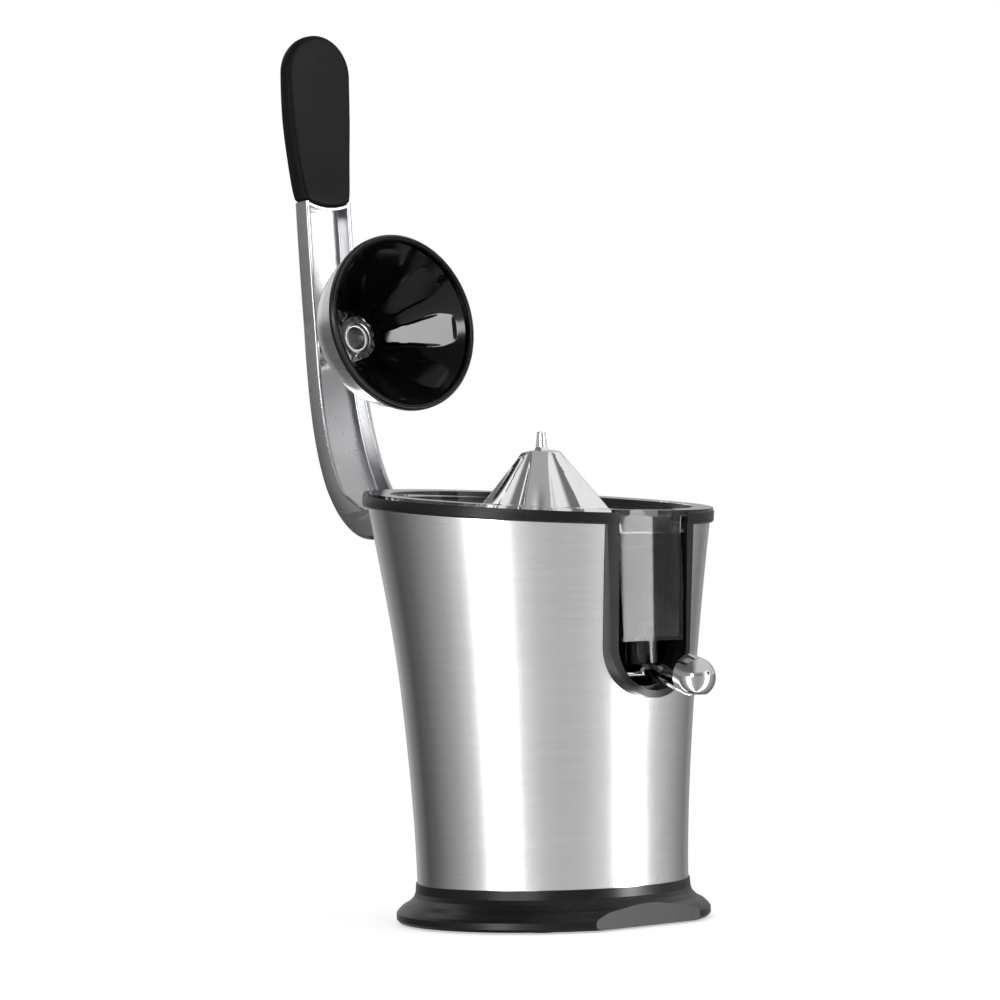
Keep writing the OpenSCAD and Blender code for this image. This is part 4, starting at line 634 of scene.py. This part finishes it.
def brushed_lines(name):
    """Brushed grain: fine noise with a share of broad noise, both squeezed along the lines. Stretch is the scale of the
    pattern along each axis, so it changes fast across the lines."""
    tree, ends, out = group(name, {"Stretch": (1.0, 1.0, 60.0), "Scale": 40.0}, ["Lines"])
    place = node(tree, "TexCoord")
    scaled = node(tree, "VectorMath", operation="MULTIPLY")
    fine = node(tree, "TexNoise", {"Detail": 4.0, "Roughness": 0.62})
    broad = node(tree, "TexNoise", {"Detail": 2.0, "Roughness": 0.5})
    fifth = node(tree, "Math", {1: 0.21}, operation="MULTIPLY")
    fine_share = node(tree, "Math", {1: 0.65}, operation="MULTIPLY")
    both = node(tree, "Math", {1: 0.35}, operation="MULTIPLY_ADD")
    wire((place, "Object", scaled, 0), (ends, "Stretch", scaled, 1), (scaled, 0, fine, "Vector"),
         (scaled, 0, broad, "Vector"), (ends, "Scale", fine, "Scale"), (ends, "Scale", fifth, 0),
         (fifth, 0, broad, "Scale"), (fine, "Fac", fine_share, 0), (broad, "Fac", both, 0), (fine_share, 0, both, 2),
         (both, 0, out, "Lines"))
    return tree


def handling_marks(name):
    """Marks of use: broad soft patches where hands and cloths went."""
    tree, ends, out = group(name, {"Scale": 18.0}, ["Patches"])
    place = node(tree, "TexCoord")
    patch = node(tree, "TexNoise", {"Detail": 3.0, "Roughness": 0.55, "Distortion": 0.4})
    soft = node(tree, "MapRange", {"From Min": 0.35, "From Max": 0.7})
    wire((place, "Object", patch, "Vector"), (ends, "Scale", patch, "Scale"), (patch, "Fac", soft, "Value"),
         (soft, "Result", out, "Patches"))
    return tree


def moulded_grain(name):
    """Grain of a moulded or cast skin: small cells with rounded tops over fine noise."""
    tree, ends, out = group(name, {"Scale": 1800.0}, ("Height", "Tone"))
    place = node(tree, "TexCoord")
    cells = node(tree, "TexVoronoi", feature="SMOOTH_F1")
    fine = node(tree, "TexNoise", {"Detail": 3.0, "Roughness": 0.6})
    both = node(tree, "Math", {1: 0.5}, operation="MULTIPLY_ADD")
    wire((place, "Object", cells, "Vector"), (ends, "Scale", cells, "Scale"), (place, "Object", fine, "Vector"),
         (ends, "Scale", fine, "Scale"), (fine, "Fac", both, 0), (cells, "Distance", both, 2),
         (both, 0, out, "Height"), (fine, "Fac", out, "Tone"))
    return tree


def stacked_layers(name):
    """Stacked sheets or turns of wire: bands along Z with a slight wander, as a height and a tone."""
    tree, ends, out = group(name, {"Scale": 300.0, "Wander": 1.0}, ("Height", "Tone"))
    place = node(tree, "TexCoord")
    wave = node(tree, "TexWave", {"Detail": 1.0}, bands_direction="Z", wave_profile="SIN")
    tone = node(tree, "TexNoise", {"Scale": 220.0, "Detail": 3.0})
    wire((place, "Object", wave, "Vector"), (place, "Object", tone, "Vector"), (ends, "Scale", wave, "Scale"),
         (ends, "Wander", wave, "Distortion"), (wave, "Fac", out, "Height"), (tone, "Fac", out, "Tone"))
    return tree


def effect(shader, maker, **values):
    """A shared group, made when it is first needed, placed beside a shader with its own values."""
    name = maker.__name__.replace("_", " ").capitalize()
    placed = node(shader.id_data, "Group", node_tree=bpy.data.node_groups.get(name) or maker(name))
    for key, value in values.items():
        placed.inputs[key].default_value = value
    return placed


def vary_colour(shader, mask, base, darker, lighter):
    """Base colour between a darker and a lighter share of it, by a mask given as a node and its output."""
    low, high = ((*(min(1.0, max(0.0, c * (1 + share))) for c in base), 1) for share in (-darker, lighter))
    mix = node(shader.id_data, "Mix", data_type="RGBA")
    mix.inputs[6].default_value, mix.inputs[7].default_value = low, high
    wire((*mask, mix, 0), (mix, 2, shader, "Base Color"))


def vary_roughness(shader, mask, low, high):
    """Roughness between two values by a mask."""
    span = node(shader.id_data, "MapRange", {"To Min": low, "To Max": high})
    wire((*mask, span, "Value"), (span, "Result", shader, "Roughness"))


def relief(shader, height, strength, depth):
    """Bump from a height, with its depth in millimetres."""
    bump = node(shader.id_data, "Bump", {"Strength": strength, "Distance": depth * MM})
    wire((*height, bump, "Height"), (bump, "Normal", shader, "Normal"))


# ---------------------------------------------------------------- finishes
def blank(name, base, metallic, roughness, **plain):
    """A material with plain constants on its Principled BSDF, and that shader."""
    made = bpy.data.materials.new(name)
    made.use_nodes = True
    shader = made.node_tree.nodes["Principled BSDF"]
    constants = {"base_color": (*base, 1), "metallic": metallic, "roughness": roughness, **plain}
    for key, value in constants.items():
        shader.inputs[key.replace("_", " ").title().replace("Ior", "IOR")].default_value = value
    made.diffuse_color = (*base, 1)
    made.metallic, made.roughness = metallic, roughness
    return made, shader


def metal(name, base, low, high, scale, depth, stretch=(1.0, 1.0, 1.0), tone=0.05):
    """Metal with brushed or drawn lines and handling marks."""
    made, shader = blank(name, base, 1.0, low)
    lines = effect(shader, brushed_lines, Stretch=stretch, Scale=scale)
    marks = effect(shader, handling_marks, Scale=14.0)
    vary_colour(shader, (lines, "Lines"), base, tone, tone)
    line_share = node(made.node_tree, "Math", {1: 0.6}, operation="MULTIPLY_ADD")
    mark_share = node(made.node_tree, "Math", {1: 0.4}, operation="MULTIPLY")
    wire((lines, "Lines", line_share, 0), (marks, "Patches", mark_share, 0), (mark_share, 0, line_share, 2))
    vary_roughness(shader, (line_share, 0), low, high)
    relief(shader, (lines, "Lines"), 0.25, depth)
    return made


def plastic(name, base, low, high, scale, depth, tone=0.12, strength=0.3, **plain):
    """Moulded plastic or rubber with a fine grain and soft patches."""
    made, shader = blank(name, base, 0.0, low, **plain)
    grain = effect(shader, moulded_grain, Scale=scale)
    marks = effect(shader, handling_marks, Scale=22.0)
    vary_colour(shader, (grain, "Tone"), base, tone, tone)
    vary_roughness(shader, (marks, "Patches"), low, high)
    relief(shader, (grain, "Height"), strength, depth)
    return made


def stacked(name, base, low, high, scale, depth, wander):
    """Laminated sheets or wound wire, of metal."""
    made, shader = blank(name, base, 1.0, low)
    layers = effect(shader, stacked_layers, Scale=scale, Wander=wander)
    vary_colour(shader, (layers, "Tone"), base, 0.25, 0.2)
    vary_roughness(shader, (layers, "Tone"), low, high)
    relief(shader, (layers, "Height"), 0.6, depth)
    return made


def clear_plastic(name, base, low, high, ior):
    """Clear moulded plastic: a light see-through body with faint flow lines and wiping marks."""
    made, shader = blank(name, base, 0.0, 0.04, ior=ior, transmission_weight=1.0)
    marks = effect(shader, handling_marks, Scale=26.0)
    flow = effect(shader, brushed_lines, Stretch=(6.0, 6.0, 2.0), Scale=9.0)
    vary_roughness(shader, (marks, "Patches"), low, high)
    relief(shader, (flow, "Lines"), 0.12, 0.15)
    return made


# Material slot: maker, name, base colour or its name in the finish colours, least and greatest roughness and the rest
FINISHES = {
    "housing_steel": (metal, "Brushed housing steel", "steel", 0.1, 0.19,
                      dict(scale=26.0, depth=0.012, stretch=(2.2, 2.2, 60.0), tone=0.09)),
    "strainer_steel": (metal, "Strainer steel", "bright_steel", 0.14, 0.26, dict(scale=160.0, depth=0.01)),
    "reamer_steel": (metal, "Polished reamer steel", "bright_steel", 0.07, 0.17,
                     dict(scale=120.0, depth=0.008, stretch=(1.0, 1.0, 6.0), tone=0.03)),
    "cast_silver": (metal, "Satin cast metal", "cast", 0.24, 0.34, dict(scale=90.0, depth=0.003)),
    "bell_silver": (metal, "Smooth silver", "bell", 0.23, 0.3, dict(scale=90.0, depth=0.003, tone=0.02)),
    "chrome": (metal, "Chrome plate", "chrome", 0.06, 0.11, dict(scale=90.0, depth=0.004, tone=0.02)),
    "zinc": (metal, "Zinc plate", "zinc", 0.24, 0.4, dict(scale=260.0, depth=0.02, stretch=(1.0, 1.0, 4.0), tone=0.1)),
    "bronze": (metal, "Sintered bronze", (0.46, 0.30, 0.14), 0.34, 0.5, dict(scale=700.0, depth=0.03, tone=0.15)),
    "black_satin": (plastic, "Satin black moulding", "satin_black", 0.26, 0.36,
                    dict(scale=2400.0, depth=0.012, specular_ior_level=0.24)),
    "black_soft": (plastic, "Soft black coating", "soft_black", 0.5, 0.62,
                   dict(scale=3200.0, depth=0.035, strength=0.45, specular_ior_level=0.08)),
    "black_gloss": (plastic, "Gloss black moulding", "gloss_black", 0.07, 0.15,
                    dict(scale=500.0, depth=0.004, strength=0.15, specular_ior_level=0.3)),
    "rubber": (plastic, "Foot rubber", (0.021, 0.021, 0.021), 0.7, 0.85, dict(scale=1500.0, depth=0.05, strength=0.6)),
    "nylon": (plastic, "Gear nylon", (0.62, 0.60, 0.54), 0.35, 0.5, dict(scale=1600.0, depth=0.02)),
    "dark_plastic": (plastic, "Dark moulding", (0.035, 0.037, 0.041), 0.42, 0.58, dict(scale=1700.0, depth=0.03)),
    "phenolic": (plastic, "Brown phenolic", (0.12, 0.06, 0.03), 0.38, 0.5, dict(scale=900.0, depth=0.02, tone=0.3)),
    "ceramic_white": (plastic, "White ceramic", (0.72, 0.70, 0.64), 0.2, 0.3, dict(scale=800.0, depth=0.01)),
    "copper": (stacked, "Wound copper", (0.50, 0.17, 0.06), 0.28, 0.42, dict(scale=420.0, depth=0.2, wander=2.0)),
    "lamination": (stacked, "Stacked laminations", (0.22, 0.23, 0.24), 0.35, 0.5,
                   dict(scale=640.0, depth=0.06, wander=0.2)),
    "clear": (clear_plastic, "Clear bowl plastic", "clear", 0.02, 0.07, dict(ior=1.3)),
}


def finish_of(slot):
    """The finish of a slot, made when it is first needed."""
    maker, name, base, low, high, values = FINISHES[slot]
    if isinstance(base, str):
        base = tuple(getattr(bpy.context.scene.press_finish, base))
    return bpy.data.materials.get(name) or maker(name, base, low, high, **values)


# ---------------------------------------------------------------- operators
class DressNodes(bpy.types.Operator):
    """Give every solid of the part the finish of its material slot"""
    bl_idname = "press.dress_nodes"
    bl_label = "Dress the solids"

    def execute(self, context):
        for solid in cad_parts.values():
            for place in solid.material_slots:
                place.material = finish_of(place.material.name)
        return {"FINISHED"}


class MakeHousing(bpy.types.Operator):
    """Build the brushed steel housing and the black rim band"""
    bl_idname = "press.make_housing"
    bl_label = "Housing and rim band"

    def execute(self, context):
        sizes = context.scene.press_body
        grid, keep = housing_surface()
        steel = piece("housing_skin", [quads(grid, keep=keep)], "housing", "housing_steel", ("steel_housing",),
                      closed=False)
        wall = steel.modifiers.new("Sheet", "SOLIDIFY")
        wall.thickness, wall.offset, wall.use_rim = sizes.sheet, -1, True
        wall.use_even_offset = True
        piece("rim_seal", [capped(rim_ring())], "housing", "black_satin", ("rim_band",))
        return {"FINISHED"}


class MakeLever(bpy.types.Operator):
    """Build the lever's cast channel with its curved web, and the soft grip"""
    bl_idname = "press.make_lever"
    bl_label = "Lever and grip"

    def execute(self, context):
        shells = [channel_caps(channel_rings()), capped(web_rings())]
        piece("lever_channel", shells, "lever", "cast_silver", ("lever_arm",))
        piece("soft_grip", [capped(grip_rings())], "lever", "black_soft", ("lever_grip",))
        return {"FINISHED"}


class MakeHead(bpy.types.Operator):
    """Build the press cone with its raised pads and the silver bell over it"""
    bl_idname = "press.make_head"
    bl_label = "Press head"

    def execute(self, context):
        piece("gloss_cone", [quads(cone_surface(), around=True, along=True)], "lever", "black_gloss", ("press_cone",))
        piece("smooth_bell", [quads(bell_surface(), around=True, along=True)], "lever", "bell_silver", ("press_bell",))
        return {"FINISHED"}


class MakeReamer(bpy.types.Operator):
    """Build the fluted reamer and its wound return spring"""
    bl_idname = "press.make_reamer"
    bl_label = "Reamer and spring"

    def execute(self, context):
        spring = piece("wound_spring", [capped(spring_rings())], "output", "zinc", ("return_spring",), sharp=60)
        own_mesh(spring)
        shell = quads(reamer_surface(), around=True, along=True)
        piece("fluted_reamer", [shell], "reamer", "reamer_steel", ("reamer_cone",), sharp=50)
        return {"FINISHED"}


# The grey room that polished metal reads: compass heading in degrees and brightness, for low rays and for those above
LOW_ROW = [
    (-180, 3.5), (-176, 7), (-164, 6), (-157, 1.3), (-150, 0.85), (-138, 0.62), (-122, 0.55), (-104, 0.58),
    (-88, 0.74), (-77, 1.0), (-72, 5), (-53, 6), (-50, 1.4), (-46, 0.9), (-34, 0.64), (-18, 0.48), (-2, 0.32),
    (14, 0.21), (30, 0.34), (68, 0.46), (85, 0.24), (102, 0.085), (118, 0.14), (134, 0.27), (150, 0.42),
    (166, 0.73), (174, 1.2), (180, 3.5)]
MID_ROW = [
    (-180, 0.5), (-164, 0.6), (-147, 0.6), (-140, 0.5), (-120, 0.35), (-90, 0.4), (-72, 1.8), (-62, 2.6),
    (-45, 2.5), (-36, 1.0), (-25, 0.8), (-10, 1.0), (20, 0.5), (50, 0.5), (80, 0.9), (110, 0.55), (135, 0.45),
    (150, 0.5), (180, 0.5)]
# Round cards in the room: heading and size in degrees, height as the sine of the lift, brightness
CARDS = [(-151, 7, 0.24, 17.0), (-61.5, 10.5, 0.02, 20.0), (-51, 8, 0.275, 0.08), (102, 12, 0.63, 1.2)]
WHITE = (1, 1, 1, 1)


class MakeStage(bpy.types.Operator):
    """Set the pale floor, the soft studio light and the camera"""
    bl_idname = "press.make_stage"
    bl_label = "Studio"

    def execute(self, context):
        scene = context.scene
        levels = scene.press_studio
        scene.view_settings.view_transform = "Standard"
        self.make_floor(scene, levels)
        self.make_world(scene, levels)
        self.make_lamps(scene, levels)
        self.make_camera(scene, levels)
        return {"FINISHED"}

    def make_floor(self, scene, levels):
        """A wide pale floor: lit as white paint, and lifted to white where the camera sees it, so the shadow stays."""
        half = 6
        corners = [(-half, -half, 0), (half, -half, 0), (half, half, 0), (-half, half, 0)]
        mesh = bpy.data.meshes.new("studio_floor")
        mesh.from_pydata(corners, [], [(0, 1, 2, 3)])
        floor = bpy.data.objects.new("studio_floor", mesh)
        scene.collection.objects.link(floor)
        floor.visible_glossy = False
        made, shader = blank("Pale floor", (levels.floor,) * 3, 0.0, 0.9, specular_ior_level=0.0)
        tree = made.node_tree
        path = node(tree, "LightPath")
        glow = node(tree, "Emission", {"Color": WHITE})
        level = node(tree, "Math", {1: levels.lift}, operation="MULTIPLY")
        seen = node(tree, "Math", operation="MAXIMUM")
        both = node(tree, "AddShader")
        wire((path, "Is Camera Ray", seen, 0), (path, "Is Transmission Ray", seen, 1), (seen, 0, level, 0),
             (level, 0, glow, "Strength"), (shader, 0, both, 0), (glow, 0, both, 1),
             (both, 0, tree.nodes["Material Output"], "Surface"))
        mesh.materials.append(made)

    def make_world(self, scene, levels):
        """The surround: plain for soft light, white for the camera, grey through clear plastic, and for polished metal
        a room. Low rays read one row of the room by compass direction, rays a little above read a second row of it, and
        steep rays a ceiling that grows brighter towards one side. Cards lie over all three."""
        world = bpy.data.worlds.new("Studio surround")
        scene.world = world
        world.use_nodes = True
        world.cycles.sampling_method = "NONE"
        tree = world.node_tree
        tree.nodes.clear()
        out = node(tree, "OutputWorld")
        place = node(tree, "TexCoord")
        parts = node(tree, "SeparateXYZ")
        turn = node(tree, "Math", operation="ARCTAN2")
        heading = node(tree, "MapRange", {"From Min": -math.pi, "From Max": math.pi})
        side = node(tree, "VectorMath", {1: (0.72, -0.69, 0)}, operation="DOT_PRODUCT")
        ceiling = node(tree, "MapRange", {"From Min": -0.28, "From Max": 0.26, "To Min": 0.2, "To Max": 0.98},
                       interpolation_type="SMOOTHSTEP")
        wire((place, "Generated", parts, 0), (parts, "Y", turn, 0), (parts, "X", turn, 1), (turn, 0, heading, "Value"),
             (place, "Generated", side, 0), (side, "Value", ceiling, "Value"))
        room = self.row(heading, LOW_ROW)
        for above, low, high in ((self.row(heading, MID_ROW), 0.06, 0.14), ((ceiling, "Result"), 0.32, 0.55)):
            lift = node(tree, "MapRange", {"From Min": low, "From Max": high}, interpolation_type="SMOOTHSTEP")
            mix = node(tree, "Mix", data_type="FLOAT")
            wire((parts, "Z", lift, "Value"), (lift, "Result", mix, 0), (*room, mix, 2), (*above, mix, 3))
            room = (mix, 0)
        for card in CARDS:
            room = self.card(place, room, *card)
        level = node(tree, "Math", {1: levels.cards}, operation="MULTIPLY")
        shown = node(tree, "Background", {"Color": WHITE})
        wire((*room, level, 0), (level, 0, shown, "Strength"))
        plain, haze, white = (node(tree, "Background", {"Color": WHITE, "Strength": strength})
                              for strength in (levels.sky, levels.haze, 1.0))
        path = node(tree, "LightPath")
        seen = plain
        for kind, light in (("Is Glossy Ray", shown), ("Is Transmission Ray", haze), ("Is Camera Ray", white)):
            mixed = node(tree, "MixShader")
            wire((path, kind, mixed, 0), (seen, 0, mixed, 1), (light, 0, mixed, 2))
            seen = mixed
        wire((seen, 0, out, "Surface"))

    def card(self, place, below, heading, size, height, brightness):
        """A round light or dark card in the room: what is below it is seen outside its edge, which is a fifth soft."""
        flat, turned = math.sqrt(1 - height**2), math.radians(heading)
        middle = (flat * math.cos(turned), flat * math.sin(turned), height)
        near = node(place.id_data, "VectorMath", {1: middle}, operation="DOT_PRODUCT")
        outer, inner = math.cos(math.radians(1.2 * size)), math.cos(math.radians(size))
        edge = node(place.id_data, "MapRange", {"From Min": outer, "From Max": inner}, interpolation_type="SMOOTHSTEP")
        mixed = node(place.id_data, "Mix", {3: brightness}, data_type="FLOAT")
        wire((place, "Generated", near, 0), (near, "Value", edge, "Value"), (edge, "Result", mixed, 0),
             (*below, mixed, 2))
        return mixed, 0

    def row(self, heading, stops):
        """One row of the room: brightness by heading, as a ramp of tenths and a product by ten."""
        shades = node(heading.id_data, "ValToRGB")
        ramp = shades.color_ramp
        while len(ramp.elements) > 1:
            ramp.elements.remove(ramp.elements[-1])
        ramp.elements[0].position = 0
        for k, (degrees, brightness) in enumerate(stops):
            stop = ramp.elements.new((degrees + 180) / 360) if k else ramp.elements[0]
            stop.color = (*[brightness / 10] * 3, 1)
        tenfold = node(heading.id_data, "Math", {1: 10.0}, operation="MULTIPLY")
        wire((heading, "Result", shades, "Fac"), (shades, "Color", tenfold, 0))
        return tenfold, 0

    def make_lamps(self, scene, levels):
        """One large soft key from the upper left of the camera and a weaker one from the right."""
        middle = Vector((0, 0.05, 0.2))
        for name, place, power, size in (("Key", (-1.5, -1.2, 1.5), levels.key, 1.2),
                                         ("Fill", (1.2, -1.3, 0.9), levels.fill * levels.key, 1.0)):
            lamp = bpy.data.lights.new(name, "AREA")
            lamp.energy, lamp.size, lamp.shape = power, size, "SQUARE"
            lit = bpy.data.objects.new(name, lamp)
            scene.collection.objects.link(lit)
            aim = (middle - Vector(place)).to_track_quat("-Z", "Y")
            lit.matrix_world = Matrix.LocRotScale(Vector(place), aim, None)
            lit.visible_glossy = False

    def make_camera(self, scene, levels):
        """The camera, a little below the rim's height, 40 degrees to the left of the spout."""
        data = bpy.data.cameras.new("Camera")
        data.sensor_width, data.lens = 36, levels.lens
        data.clip_start, data.clip_end = 0.05, 50
        camera = bpy.data.objects.new("Camera", data)
        scene.collection.objects.link(camera)
        right = (0.76963, -0.63797, -0.02563)
        up = (-0.00522, -0.04644, 0.99891)
        back = (-0.63847, -0.76866, -0.03907)
        place = (-1.13653, -1.33071, 0.166)
        camera.matrix_world = Matrix([[right[i], up[i], back[i], place[i]] for i in range(3)] + [[0, 0, 0, 1]])
        scene.camera = camera


class PressPanel(bpy.types.Panel):
    """Lists the steps that build the press"""
    bl_idname = "VIEW3D_PT_citrus_press"
    bl_label = "Citrus press"
    bl_space_type = "VIEW_3D"
    bl_region_type = "UI"
    bl_category = "Citrus press"

    def draw(self, context):
        for step_class in STEPS:
            self.layout.operator(step_class.bl_idname)
        for group_name in GROUPS:
            box = self.layout.box()
            sizes = getattr(context.scene, group_name)
            for key in sizes.bl_rna.properties.keys():
                if key not in ("rna_type", "name"):
                    box.prop(sizes, key)


STEPS = (DressNodes, MakeHousing, MakeLever, MakeHead, MakeReamer, MakeStage)
GROUPS = {"press_body": BodySizes, "press_lever": LeverSizes, "press_head": HeadSizes, "press_reamer": ReamerSizes,
          "press_finish": FinishColours, "press_studio": StudioLevels}


def register():
    for made in (*GROUPS.values(), *STEPS, PressPanel):
        bpy.utils.register_class(made)
    for name, made in GROUPS.items():
        setattr(bpy.types.Scene, name, PointerProperty(type=made))


def unregister():
    for name in GROUPS:
        delattr(bpy.types.Scene, name)
    for made in reversed((*GROUPS.values(), *STEPS, PressPanel)):
        bpy.utils.unregister_class(made)


def main():
    register()
    bpy.ops.press.dress_nodes()
    bpy.ops.press.make_housing()
    bpy.ops.press.make_lever()
    bpy.ops.press.make_head()
    bpy.ops.press.make_reamer()
    bpy.ops.press.make_stage()


if __name__ == "__main__":
    main()
